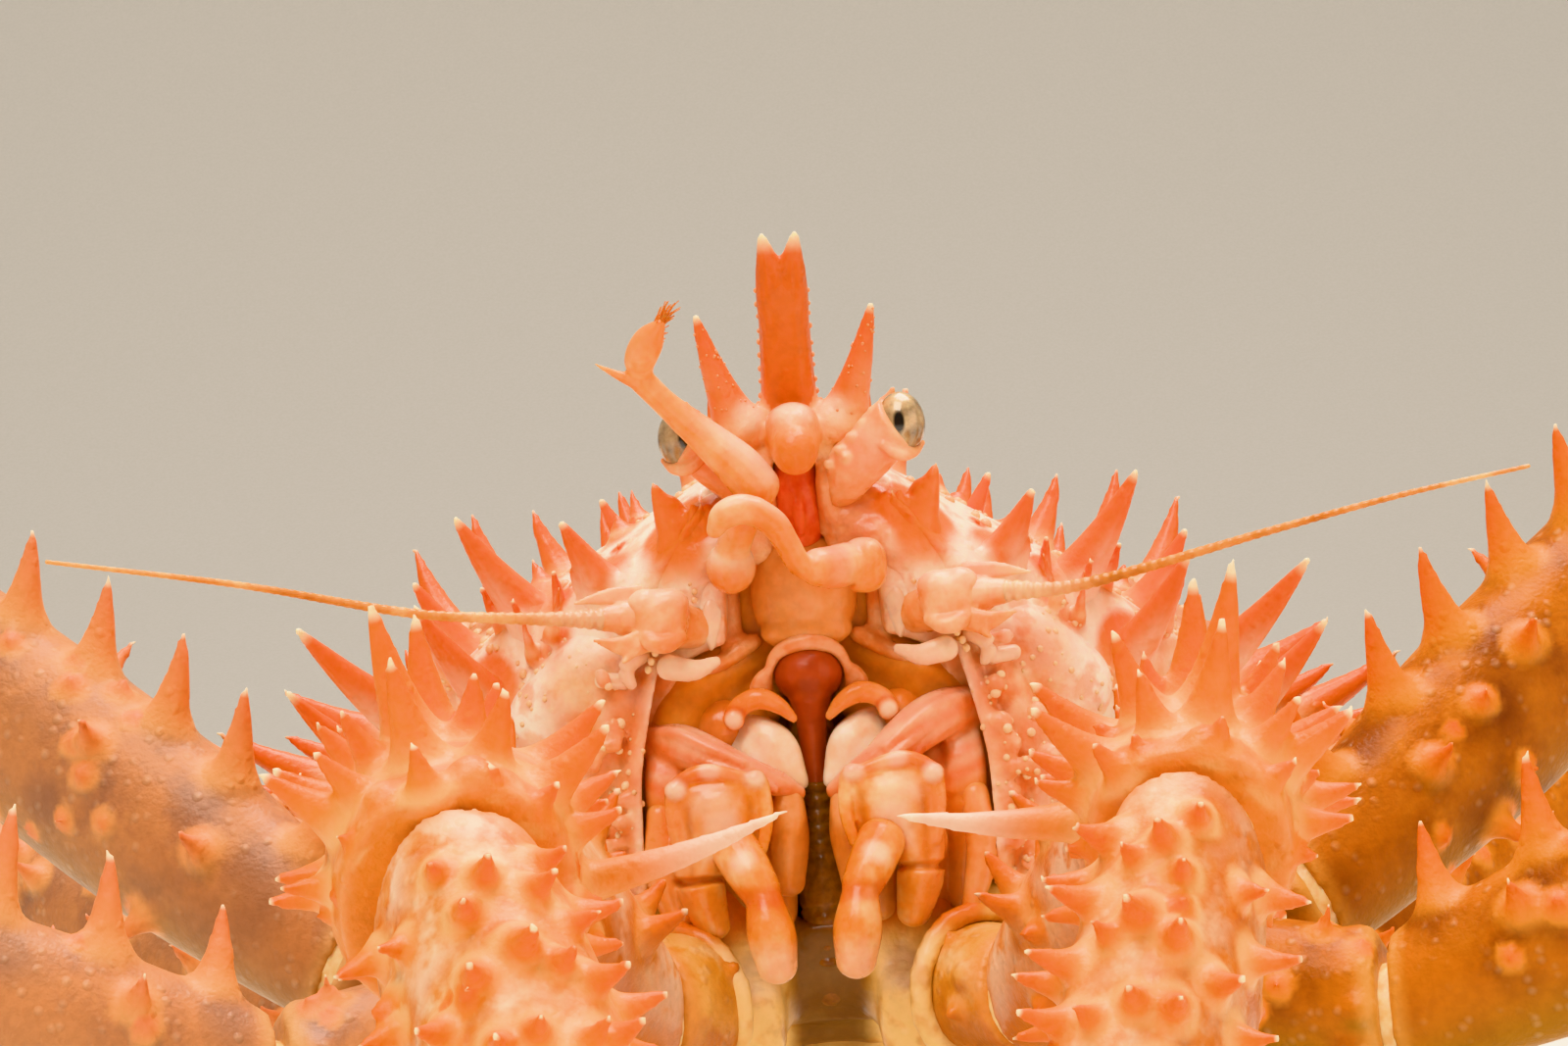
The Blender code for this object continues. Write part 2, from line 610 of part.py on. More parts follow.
def make_leg(leg, side_name, parts, materials):
    side = SIDES[side_name]
    joints = mirrored(LEGS[leg], side)
    for index, part in enumerate(SEGMENTS):
        name = "%s_%s_%s" % (leg, side_name, part)
        item = make_segment(name, joints, index, part, GIRTH_PROFILES, LEG_GIRTHS, SPINE_ROWS,
                            LEG_SCALE[leg], parts, materials[part])
        if part == "dactyl":
            cut_square(item, Vector((0, 0, 0)), Vector((0, 0, -1)))
        finish(item, materials[part])


def socket_shape(points, profile, girth, scale):
    """Room that a limb's first piece needs in the body."""
    trimmed = [(0.0, profile_at(profile, 0.0))] + [entry for entry in profile if entry[0] > 0.0]
    return lofted(segment_rings(points[0], points[1], trimmed, girth, scale, LEG_RING_SIDES, grow=0.45))


def limb_sockets():
    shapes = []
    for side in (1, -1):
        for leg, points in LEGS.items():
            joints = mirrored(points, side)
            shapes.append(socket_shape(joints, GIRTH_PROFILES["coxa"], LEG_GIRTHS["coxa"], LEG_SCALE[leg]))
        side_name = "left" if side > 0 else "right"
        joints = mirrored(CHELIPED_JOINTS, side)
        shapes.append(socket_shape(joints, CHELIPED_PROFILES["coxa"], CHELIPED_GIRTHS["coxa"],
                                   CHELIPED_SCALE[side_name]))
    return shapes


def make_cheliped(side_name, parts, materials):
    side = SIDES[side_name]
    scale = CHELIPED_SCALE[side_name]
    joints = mirrored(CHELIPED_JOINTS, side)
    for index, part in enumerate(("coxa", "merus", "carpus", "palm")):
        name = "cheliped_%s_%s" % (side_name, part)
        item = make_segment(name, joints, index, part, CHELIPED_PROFILES, CHELIPED_GIRTHS, CHELIPED_ROWS,
                            scale, parts, materials[part])
        if part == "carpus":
            middle = joints[2].lerp(joints[3], 0.5)
            inward = Vector((-side, -0.15, 0.12)).normalized()
            root = middle + inward * CHELIPED_GIRTHS["carpus"][1] * scale * 0.92
            combine(item, [spine(root, root + inward * INNER_SPINE_LENGTH[side_name], 1.7, sink=2.0)], "UNION")
        if part == "palm":
            combine(item, [fixed_finger(joints, scale)], "UNION")
        finish(item, materials[part])
    finger = make_object("cheliped_%s_finger" % side_name, moving_finger(joints, scale), parts)
    finish(finger, materials["dactyl"])


def finger_frame(joints):
    run = joints[5] - joints[4]
    upward, side = axes_of(run)
    return joints[4], run, upward, side


def fixed_finger(joints, scale):
    start, run, upward, _ = finger_frame(joints)
    low = upward * -3.6 * scale
    points = [start - run * 0.25 + low * 0.8, start + run * 0.2 + low, start + run * 0.6 + low * 0.85,
              start + run * 0.97 + low * 0.2]
    return tube(points, [FINGER_RADIUS * scale * f for f in (1.15, 1.0, 0.75, 0.25)], sides=7)


def moving_finger(joints, scale):
    start, run, upward, _ = finger_frame(joints)
    high = upward * 3.9 * scale
    points = [start + run * 0.06 + high * 0.9, start + run * 0.3 + high * 1.1, start + run * 0.65 + high * 0.95,
              start + run * 1.0 + high * 0.35]
    return tube(points, [FINGER_RADIUS * scale * f for f in (0.95, 0.98, 0.72, 0.22)], sides=7)


# The face's small parts

def make_eye(side_name, parts, materials):
    """Stalk and cornea, parted by one slanting plane that faces forwards and outwards."""
    side = SIDES[side_name]
    root = face_point(EYE_ROOT, side)
    end = face_point(EYE_END, side)
    facing = Vector((CORNEA_FACING.x * side, CORNEA_FACING.y, CORNEA_FACING.z)).normalized()
    centre = face_point(CORNEA_CENTRE, side)
    plane = centre - facing * 0.5
    points = [root, root.lerp(end, 0.35), root.lerp(end, 0.75), end]
    stalk = make_object("eyestalk_" + side_name, tube(points, (2.0, 2.3, 2.9, 2.7), sides=10), parts)
    point = face_point((9.0, -0.9, 9.8), side)
    combine(stalk, [spine(point - Vector((0.5 * side, 0.0, 0.6)), point + Vector((0.3 * side, -0.3, 1.1)), 0.7)],
            "UNION")
    cut_square(stalk, plane - facing * JOINT_GAP, facing)
    finish(stalk, materials["eyestalk"])
    cornea = make_object("cornea_" + side_name, ball(centre, CORNEA_SIZE, None, 12, 8), parts)
    cut_square(cornea, plane, -facing)
    finish(cornea, materials["cornea"])


def make_antennules(parts, materials):
    raised = [(-5.6, -2.6, -2.4), (-5.0, -5.0, 0.4), (-3.9, -5.6, 3.4), (-6.6, -6.2, 6.6), (-12.4, -8.0, 12.8)]
    item = make_object("antennule_right", ball(face_point(BASAL_PLACE["right"], -1), BASAL_BALL), parts)
    shapes = [tube([face_point(p) for p in raised], (1.5, 1.5, 1.6, 1.45, 0.95), sides=7),
              tube([face_point(p) for p in ((-12.2, -7.9, 12.6), (-12.2, -9.2, 14.2), (-11.2, -10.8, 16.0),
                                            (-10.0, -12.0, 17.4))], (0.75, 1.2, 1.25, 0.5), sides=6),
              tube([face_point(p) for p in ((-12.2, -7.9, 12.6), (-14.0, -8.4, 13.4), (-16.0, -9.0, 14.6))],
                   (0.6, 0.4, 0.2), sides=5)]
    combine(item, shapes, "UNION")
    finish(item, materials["antennule"])
    folded = [(5.2, -4.0, -3.4), (2.8, -7.0, -4.2), (0.6, -8.2, -3.8), (-0.6, -8.8, -2.0), (-1.4, -9.0, 0.2),
              (-3.2, -9.2, 1.7), (-5.6, -9.2, 2.1), (-7.0, -9.2, 1.4)]
    item = make_object("antennule_left", ball(face_point(BASAL_PLACE["left"]), BASAL_BALL), parts)
    combine(item, [tube([face_point(p) for p in folded], (1.5, 1.4, 1.3, 1.2, 1.15, 1.1, 0.95, 0.5), sides=7)],
            "UNION")
    finish(item, materials["antennule"])


def make_antenna(side_name, parts, materials):
    side = SIDES[side_name]
    knob = make_object("antenna_" + side_name,
                       ball(face_point(KNOB_PLACE, side), KNOB_SIZE), parts)
    base = tube([face_point(p, side) for p in ((8.7, 1.3, -8.5), (11.0, -0.6, -8.0))], (2.0, 2.3), sides=8)
    outer = tube([face_point(p, side) for p in ((13.2, -2.2, -7.3), (15.2, -2.6, -7.2), (17.0, -3.0, -7.1))],
                 (1.5, 1.35, 1.1), sides=8)
    scale_spine = spine(face_point((13.6, -2.4, -8.8), side), face_point((17.6, -4.0, -9.4), side), 0.9)
    combine(knob, [base, outer, scale_spine], "UNION")
    whip = {
        "left": ((24.0, -5.0, -6.8), (39.4, -10.0, -3.4), (50.0, -13.5, -1.2), (60.0, -16.5, 0.4)),
        "right": ((24.5, -5.4, -6.4), (33.0, -8.0, -5.3), (46.0, -15.5, -2.0), (60.5, -24.5, 1.0)),
    }[side_name]
    start = face_point((16.8 + JOINT_GAP, -3.05, -7.05), side)
    points = [start] + [face_point(p, side) for p in whip]
    flagellum = make_object("flagellum_" + side_name, tube(smooth_run(points, 3), taper(0.62, 0.2, 13), sides=6),
                            parts)
    direction = (points[1] - points[0]).normalized()
    cut_square(knob, start - direction * JOINT_GAP, direction)
    finish(knob, materials["antenna"])
    finish(flagellum, materials["flagellum"])


def taper(first, last, count):
    return [first + (last - first) * i / (count - 1) for i in range(count)]


def smooth_run(points, steps):
    """Points on a smooth curve through a few given points."""
    ends = [points[0] * 2 - points[1]] + list(points) + [points[-1] * 2 - points[-2]]
    run = []
    for i in range(1, len(ends) - 2):
        a, b, c, d = ends[i - 1:i + 3]
        for k in range(steps):
            t = k / steps
            run.append(0.5 * (2 * b + (c - a) * t + (2 * a - 5 * b + 4 * c - d) * t * t
                              + (3 * b - 3 * c + d - a) * t * t * t))
    run.append(points[-1])
    return run


def make_mouth(parts, materials):
    labrum = make_object("labrum", ball(face_point(LABRUM_CENTRE), LABRUM_SIZE, None, 12, 8), parts)
    finish(labrum, materials["labrum"])
    for side_name, side in SIDES.items():
        mandible = make_object("mandible_" + side_name,
                               ball(face_point(MANDIBLE_CENTRE, side), MANDIBLE_SIZE), parts)
        palp = tube([face_point(p, side) for p in ((7.6, 4.4, -17.4), (6.6, 1.4, -16.4), (4.6, 0.2, -16.1),
                                                   (2.4, 0.6, -16.7))], (1.3, 1.5, 1.3, 0.8), sides=7)
        combine(mandible, [palp], "UNION")
        finish(mandible, materials["mandible"])
        make_maxilliped(side_name, side, parts, materials)


def make_maxilliped(side_name, side, parts, materials):
    blocks = ((8.0, 4.4, -30.6), (8.0, 1.2, -28.2), (7.7, -2.2, -25.6), (7.4, -4.4, -23.8))
    item = make_object("maxilliped_" + side_name,
                       tube([face_point(p, side) for p in blocks], (2.4, 3.4, 4.1, 3.7), sides=8), parts)
    hanging = ((7.0, -5.4, -23.4), (5.8, -7.4, -26.6), (4.6, -8.2, -29.6), (3.8, -8.6, -33.6), (3.4, -8.2, -37.6))
    combine(item, [tube([face_point(p, side) for p in hanging], (2.2, 2.3, 1.8, 2.3, 1.4), sides=8,
                        up=Vector((0, -1, 0)))], "UNION")
    finish(item, materials["maxilliped"])


def face_sockets():
    shapes = []
    for side_name, side in SIDES.items():
        root = face_point(EYE_ROOT, side)
        end = face_point(EYE_END, side)
        shapes.append(tube([root - (end - root).normalized() * JOINT_GAP, root.lerp(end, 0.35),
                            root.lerp(end, 0.75), end], (2.4, 2.7, 3.3, 3.1), sides=10))
        shapes.append(ball(face_point(BASAL_PLACE[side_name], side), BASAL_BALL + SOCKET_ROOM))
        shapes.append(ball(face_point(KNOB_PLACE, side), KNOB_SIZE + SOCKET_ROOM))
        base = [face_point(p, side) for p in ((8.5, 1.6, -8.6), (11.0, -0.6, -8.0))]
        shapes.append(tube(base, (2.4, 2.8), sides=8))
    return shapes


def make_materials():
    plan = {
        "carapace": (SHELL_ORANGE, 0.38), "thorax": (SHELL_PEACH, 0.42), "abdomen": (SHELL_PEACH, 0.42),
        "coxa": (SHELL_CREAM, 0.42), "merus": (SHELL_ORANGE, 0.40), "carpus": (SHELL_ORANGE, 0.40),
        "propodus": (SHELL_ORANGE, 0.40), "dactyl": (SHELL_RED, 0.36), "palm": (SHELL_RED, 0.36),
        "eyestalk": (SHELL_PEACH, 0.36), "cornea": (CORNEA_GREY, 0.10), "antennule": (SHELL_ORANGE, 0.36),
        "antenna": (SHELL_PEACH, 0.36), "flagellum": (SHELL_ORANGE, 0.45), "labrum": (LABRUM_RED, 0.30),
        "mandible": (MANDIBLE_IVORY, 0.30), "maxilliped": (SHELL_PEACH, 0.38),
    }
    return {name: make_material(name, color, roughness) for name, (color, roughness) in plan.items()}


def main():
    clear_scene()
    parts = new_collection("king_crab")
    materials = make_materials()
    make_body(parts, materials, limb_sockets() + face_sockets())
    for side_name in SIDES:
        make_cheliped(side_name, parts, materials)
        for leg in LEGS:
            make_leg(leg, side_name, parts, materials)
        make_eye(side_name, parts, materials)
        make_antenna(side_name, parts, materials)
    make_antennules(parts, materials)
    make_mouth(parts, materials)
    for item in parts.objects:
        item.data.transform(Matrix.Translation(ORIGIN_SHIFT * MM))


main()
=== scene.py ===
# The looks of a life-size spiny king crab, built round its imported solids.
# Shapes are worked out in millimetres with the crab facing -Y, and turned to metres in makeMesh.
import json
import math
import random
from functools import partial
from types import SimpleNamespace

import bpy
import numpy as np
from mathutils import Matrix, Vector
from mathutils.bvhtree import BVHTree

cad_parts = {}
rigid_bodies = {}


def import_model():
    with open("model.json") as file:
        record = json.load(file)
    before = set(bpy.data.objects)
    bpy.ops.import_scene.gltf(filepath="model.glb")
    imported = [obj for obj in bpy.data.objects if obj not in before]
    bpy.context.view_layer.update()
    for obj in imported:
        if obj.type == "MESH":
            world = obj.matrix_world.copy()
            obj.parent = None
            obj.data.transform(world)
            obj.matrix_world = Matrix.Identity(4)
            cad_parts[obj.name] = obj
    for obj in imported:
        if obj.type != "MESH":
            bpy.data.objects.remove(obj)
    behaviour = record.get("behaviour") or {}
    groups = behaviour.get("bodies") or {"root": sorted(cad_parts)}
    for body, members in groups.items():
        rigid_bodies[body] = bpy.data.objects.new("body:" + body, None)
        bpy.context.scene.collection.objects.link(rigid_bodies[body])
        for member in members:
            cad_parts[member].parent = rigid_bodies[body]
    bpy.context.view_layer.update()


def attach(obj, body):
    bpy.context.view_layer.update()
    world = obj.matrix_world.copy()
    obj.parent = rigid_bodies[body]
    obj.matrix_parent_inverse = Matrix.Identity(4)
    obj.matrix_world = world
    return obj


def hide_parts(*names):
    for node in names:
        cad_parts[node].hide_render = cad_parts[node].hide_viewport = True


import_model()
print("stage: frame loaded")

mm = 0.001
originShift = np.array((0, -37, 0))  # the solids' origin lies under the middle of their box
faceHeight = 90.0  # middle of the face above the floor
sideOf = {"left": 1, "right": -1}
coarse = 1.0


# Colour and node helpers

def srgb(hexText):
    # linear colour of an sRGB hex value
    parts = [int(hexText[i:i + 2], 16) / 255 for i in (1, 3, 5)]
    return [c / 12.92 if c <= 0.04045 else ((c + 0.055) / 1.055) ** 2.4 for c in parts] + [1]


def setSockets(node, values):
    # each socket gets its number, its colour as hex text, or its link
    for socket, value in values.items():
        if isinstance(value, bpy.types.NodeSocket):
            node.id_data.links.new(value, node.inputs[socket])
        else:
            node.inputs[socket].default_value = srgb(value) if isinstance(value, str) else value


def addNode(tree, kind, values, output=0, stops=(), **settings):
    # one node with its settings and links; stops are the places and colours of a colour ramp
    node = tree.nodes.new("ShaderNode" + kind)
    for name, value in settings.items():
        setattr(node, name, value)
    for _ in stops[2:]:
        node.color_ramp.elements.new(0.5)
    for index, (place, colour) in enumerate(stops):
        element = node.color_ramp.elements[index]
        element.position = place
        element.color = srgb(colour) if isinstance(colour, str) else (colour, colour, colour, 1)
    setSockets(node, values)
    return node.outputs[output]


def newMaterial(name):
    # a material, its shader, and the call that adds nodes to it
    material = bpy.data.materials.new(name)
    material.use_nodes = True
    tree = material.node_tree
    return material, tree.nodes["Principled BSDF"], partial(addNode, tree)


# Shape helpers

def unit(vector):
    vector = np.asarray(vector, float)
    return vector / np.linalg.norm(vector)


def smoothRun(points, steps):
    # points on a smooth curve through the given ones
    given = np.asarray(points, float)
    ends = np.vstack((2 * given[0] - given[1], given, 2 * given[-1] - given[-2]))
    t = np.linspace(0, 1, steps, endpoint=False)[:, None]
    run = []
    for a, b, c, d in zip(ends, ends[1:], ends[2:], ends[3:]):
        run.append(0.5 * (2 * b + (c - a) * t + (2 * a - 5 * b + 4 * c - d) * t ** 2
                          + (3 * b - 3 * c + d - a) * t ** 3))
    run.append(given[-1:])
    return np.vstack(run)


def loft(rings):
    # closed form through rings with the same number of points
    rings = np.asarray(rings)
    count, around = rings.shape[:2]
    points = np.vstack((rings.reshape(-1, 3), rings[0].mean(0), rings[-1].mean(0)))
    here = np.arange(around)
    after = (here + 1) % around
    faces = []
    for row in range(count - 1):
        low, high = row * around, (row + 1) * around
        faces += np.column_stack((low + here, low + after, high + after, high + here)).tolist()
    low = (count - 1) * around
    middle = count * around
    faces += np.column_stack((after, here, np.full(around, middle))).tolist()
    faces += np.column_stack((low + here, low + after, np.full(around, middle + 1))).tolist()
    return points, faces


def axesOf(ahead, up):
    # two directions square to the way ahead, the second one nearest to up
    side = np.cross(up, ahead)
    long = np.linalg.norm(side, axis=-1, keepdims=True)
    side = side / np.maximum(long, 1e-6)
    return side, np.cross(ahead, side)


def circle(around, square=2, turn=0):
    angle = np.linspace(0, 2 * math.pi, around, endpoint=False) + turn
    across, over = np.cos(angle), np.sin(angle)
    return (np.sign(across) * abs(across) ** (2 / square), np.sign(over) * abs(over) ** (2 / square))


def sweep(points, radii, steps=5, around=16, flat=1, up=(0, 0, 1), square=2, ends=0.9):
    # rounded bar of changing thickness along a smooth curve
    run = smoothRun(points, steps)
    size = np.maximum(smoothRun(np.array(radii, float)[:, None], steps)[:, 0], 0.04)
    ahead = np.gradient(run, axis=0)
    ahead /= np.linalg.norm(ahead, axis=1)[:, None]
    bend = np.linspace(0.25, 1.5, 5)
    head = run[0] - ahead[0] * (size[0] * ends * np.sin(bend[::-1]))[:, None]
    tail = run[-1] + ahead[-1] * (size[-1] * ends * np.sin(bend))[:, None]
    centres = np.vstack((head, run, tail))
    size = np.concatenate((size[0] * np.cos(bend[::-1]), size, size[-1] * np.cos(bend)))
    ahead = np.vstack((np.repeat(ahead[:1], 5, 0), ahead, np.repeat(ahead[-1:], 5, 0)))
    side, top = axesOf(ahead, np.array(up, float))
    across, over = circle(around, square)
    rings = (centres[:, None] + side[:, None] * (across * flat)[None, :, None] * size[:, None, None]
             + top[:, None] * over[None, :, None] * size[:, None, None])
    return loft(rings)


def ball(centre, size, turn=None, around=20, rows=12):
    pole = math.pi / 2 - 0.12  # the first and last ring lie just short of the poles
    across, over = circle(around)
    rings = np.stack([
        np.column_stack((across * math.cos(a), over * math.cos(a), np.full(around, math.sin(a))))
        for a in np.linspace(-pole, pole, rows)])
    rings = rings * np.array(size, float)
    if turn is not None:
        rings = rings @ np.array(turn).T
    return loft(rings + np.array(centre, float))


def thorn(root, tip, radius, bow=0.03, flare=0.45, sink=1.6, around=14, blunt=0.3):
    # spine with a flared root, a slight bow and a rounded tip
    root, tip = np.array(root, float), np.array(tip, float)
    length = np.linalg.norm(tip - root)
    ahead = (tip - root) / length
    side, top = axesOf(ahead, np.array((0, 0, 1)))
    end = min(blunt, radius * 0.35)
    share = np.concatenate(([-sink / length], np.linspace(0, 1 - end / length, 14)))
    width = end + (radius - end) * (1 - share.clip(0, 1)) ** 0.92
    width += radius * flare * np.exp(-share.clip(0, 1) * length / (0.55 * radius))
    bend = np.array((0.5, 0.95, 1.35))
    share = np.concatenate((share, 1 - end / length + end / length * np.sin(bend)))
    width = np.concatenate((width, end * np.cos(bend)))
    centres = root + ahead * (share * length)[:, None]
    centres = centres - top * (bow * length * np.sin(math.pi * share.clip(0, 1)))[:, None]
    across, over = circle(around)
    ring = side * across[:, None] + top * over[:, None]
    return loft(centres[:, None] + ring[None] * width[:, None, None])


def studs(places, normals, sizes, height=0.8, around=7):
    # many small domes, each one closed form
    rows = np.array((-0.5, 0.05, 0.5, 0.9))
    widths = np.array((0.8, 1, 0.84, 0.42))
    across, over = circle(around)
    forms = []
    for place, normal, size in zip(places, normals, sizes):
        side, top = axesOf(np.array(normal, float), np.array((0.13, 0.31, 0.94)))
        rings = (place + np.array(normal) * (rows * size * height)[:, None])[:, None]
        ring = side * across[:, None] + top * over[:, None]
        forms.append(loft(rings + ring[None] * (widths * size)[:, None, None]))
    return forms


def block(centre, half, side=1, power=3.2, turn=None):
    # rounded block: a ball pushed out towards the sides of a box
    points, faces = ball((0, 0, 0), (1, 1, 1), None, 36, 20)
    points = points / ((abs(points) ** power).sum(1) ** (1 / power))[:, None] * np.array(half, float)
    if turn is not None:
        points = points @ np.array(Matrix.Rotation(math.radians(turn), 3, "X")).T
    points, faces = mirror((points, faces), side)
    return points + facePoint(centre, side), faces


def plate(outline, thickness, side=1, crown=0.3):
    # thin slab with rounded edges over a closed outline
    ring = np.array([facePoint(p, side) for p in smoothRun(list(outline) + [outline[0]], 5)[:-1]])
    middle = ring.mean(0)
    normal = unit(np.cross(ring - middle, np.roll(ring, -1, 0) - middle).sum(0))
    steps = ((0.5, -0.5 - crown), (0.85, -0.5), (0.97, -0.3), (1, 0), (0.97, 0.3), (0.85, 0.5),
             (0.5, 0.5 + crown))
    return loft([middle + (ring - middle) * size + normal * shift * thickness for size, shift in steps])


def mirror(form, side):
    points, faces = form
    if side > 0:
        return form
    return points * np.array((-1, 1, 1)), [face[::-1] for face in faces]


def makeMesh(name, forms):
    points, faces, start = [], [], 0
    for formPoints, formFaces in forms:
        points.append(formPoints)
        faces += [[start + i for i in face] for face in formFaces]
        start += len(formPoints)
    mesh = bpy.data.meshes.new(name)
    mesh.from_pydata(((np.vstack(points) + originShift) * mm).tolist(), [], faces)
    mesh.validate()
    return mesh


def placeInScene(name, data):
    item = bpy.data.objects.new(name, data)
    bpy.context.scene.collection.objects.link(item)
    return item


def makeItem(name, forms):
    item = placeInScene(name, makeMesh(name, forms))
    item.data.shade_smooth()
    return item


def applyModifiers(item):
    evaluated = item.evaluated_get(bpy.context.evaluated_depsgraph_get())
    mesh = bpy.data.meshes.new_from_object(evaluated)
    item.modifiers.clear()
    item.data = mesh
    mesh.shade_smooth()


def fuse(name, forms, voxel, ease=3, keepSize=0.5):
    # one skin over all the forms, with eased joins
    item = makeItem(name, forms)
    skin = item.modifiers.new("skin", "REMESH")
    skin.mode = "VOXEL"
    skin.voxel_size = voxel * coarse * mm
    easing = item.modifiers.new("ease", "SMOOTH")
    easing.factor = keepSize
    easing.iterations = ease
    applyModifiers(item)
    return item


def cutForm(form, cutters):
    # a form with other closed forms taken out of it
    item = makeItem("cutBody", [form])
    group = bpy.data.collections.new("cutters")
    bpy.context.scene.collection.children.link(group)
    for index, cutter in enumerate(cutters):
        other = bpy.data.objects.new("cutter%d" % index, makeMesh("cutter", [cutter]))
        group.objects.link(other)
    cut = item.modifiers.new("cut", "BOOLEAN")
    cut.operation = "DIFFERENCE"
    cut.operand_type = "COLLECTION"
    cut.collection = group
    cut.solver = "MANIFOLD"
    applyModifiers(item)
    points = coordsOf(item)
    faces = [list(face.vertices) for face in item.data.polygons]
    for other in list(group.objects):
        bpy.data.objects.remove(other)
    bpy.data.collections.remove(group)
    bpy.data.objects.remove(item)
    return points, faces


def coordsOf(item):
    # a piece's points in the script's own millimetres
    flatList = np.zeros(len(item.data.vertices) * 3)
    item.data.vertices.foreach_get("co", flatList)
    return flatList.reshape(-1, 3) / mm - originShift


def normalsOf(item):
    flatList = np.zeros(len(item.data.vertices) * 3)
    item.data.vertices.foreach_get("normal", flatList)
    return flatList.reshape(-1, 3)


def setCoords(item, coords):
    item.data.vertices.foreach_set("co", ((coords + originShift) * mm).ravel())
    item.data.update()


def mark(item, name, values):
    # a number for each point of a piece, or one for all of them
    layer = item.data.attributes.get(name) or item.data.attributes.new(name, "FLOAT", "POINT")
    values = np.broadcast_to(values, len(layer.data))
    layer.data.foreach_set("value", np.ascontiguousarray(values, np.float32))


def ramp(low, high, values):
    # 0 below low, 1 above high, smooth between
    share = ((values - low) / (high - low)).clip(0, 1)
    return share * share * (3 - 2 * share)


def readMark(item, name):
    values = np.zeros(len(item.data.vertices), np.float32)
    item.data.attributes[name].data.foreach_get("value", values)
    return values


def distanceToLine(coords, start, end):
    # distance from each point to a straight run, and the share along it
    start, end = np.array(start, float), np.array(end, float)
    run = end - start
    share = ((coords - start) @ run / (run @ run)).clip(0, 1)
    return np.linalg.norm(coords - start - share[:, None] * run, axis=1), share


def markThorns(item, thorns, spread=5):
    # where each point lies along the nearest spine, and how far it is from any spine
    coords = coordsOf(item)
    along = np.zeros(len(coords))
    cover = np.zeros(len(coords))
    nearest = np.full(len(coords), 40.0)
    for root, tip, radius in thorns:
        root, tip = np.array(root, float), np.array(tip, float)
        low, high = np.minimum(root, tip) - 12, np.maximum(root, tip) + 12
        inside = np.flatnonzero(((coords > low) & (coords < high)).all(1))
        if not len(inside):
            continue
        length = np.linalg.norm(tip - root)
        rel = coords[inside] - root
        share = rel @ (tip - root) / length ** 2
        off = np.linalg.norm(rel - share[:, None] * (tip - root), axis=1)
        width = radius * (1.25 - 0.95 * share.clip(0, 1)) + 0.35
        on = (1 - ramp(1, 1.45, off / width)) * ramp(-0.16, 0.1, share) * (share < 1.2)
        better = on > cover[inside]
        cover[inside[better]] = on[better]
        along[inside[better]] = share[better].clip(0, 1)
        nearest[inside] = np.minimum(nearest[inside], np.linalg.norm(rel, axis=1) - radius)
    mark(item, "thornShare", along)
    mark(item, "thornCover", cover)
    mark(item, "valley", ramp(0.3, spread, nearest))


def dress(item, material, slot, *nodes):
    # gives a piece its material and its place in the frame
    item.data.materials.clear()
    item.data.materials.append(material)
    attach(item, "root")
    if nodes:
        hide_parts(*nodes)
    return item


def facePoint(values, side=1):
    return np.array((values[0] * side, values[1], values[2] + faceHeight))


def faceSweep(points, radii, side=1, **options):
    return sweep([facePoint(p, side) for p in points], radii, **options)


def faceBall(centre, size, side=1, turn=None, **options):
    points, faces = mirror(ball((0, 0, 0), size, turn, **options), side)
    return points + facePoint(centre, side), faces


def faceLine(coords, start, end, side=1):
    # distance from each point to a straight run near the face
    return distanceToLine(coords, facePoint(start, side), facePoint(end, side))[0]


def awayFrom(coords, place, side=1, scale=1):
    # distance from each point to a place near the face
    return np.linalg.norm((coords - facePoint(place, side)) * scale, axis=1)


def heightOf(item):
    # height of each point above the middle of the face
    return coordsOf(item)[:, 2] - faceHeight


def faceThorn(root, tip, side=1, **options):
    return thorn(facePoint(root, side), facePoint(tip, side), **options)


formMakers = {"bar": faceSweep, "ball": faceBall, "block": block, "plate": plate, "thorn": faceThorn}


def formsOf(rows, side=1, move=(0, 0, 0)):
    # forms of a table: kind, place or path near the face, size, and what else differs from the usual
    return [formMakers[kind](np.array(place) + move, size, side, **dict(*options))
            for kind, place, size, *options in rows]


def distanceAlong(run):
    return np.concatenate(([0], np.cumsum(np.linalg.norm(np.diff(run, axis=0), axis=1))))


# Materials

shellLook = {
    # cloudy patterns: mm across, detail, roughness
    "clouds": {
        "mottle": (5, 4, 0.6),  # soft patches of a lighter and a darker tone
        "flecks": (2.8, 3, 0.5),  # orange flecks left in the pale hollows
        "bare": (3, 2, 0.5),  # where the low granules are missing
        "speck": (0.9, 3, 0.5),  # fine dirt
        "grain": (0.45, 2, 0.5),  # the finest unevenness of the shell
    },
    "granules": 1.5,  # mm between the low granules
    "granuleHeight": 1.6,  # times the height of the grain
    "spots": 9,  # mm between the dark spots
    "light": 0.0016,  # m that light travels in the shell
    "refraction": 1.5,  # chitin with lime is about 1.5 to 1.6
}


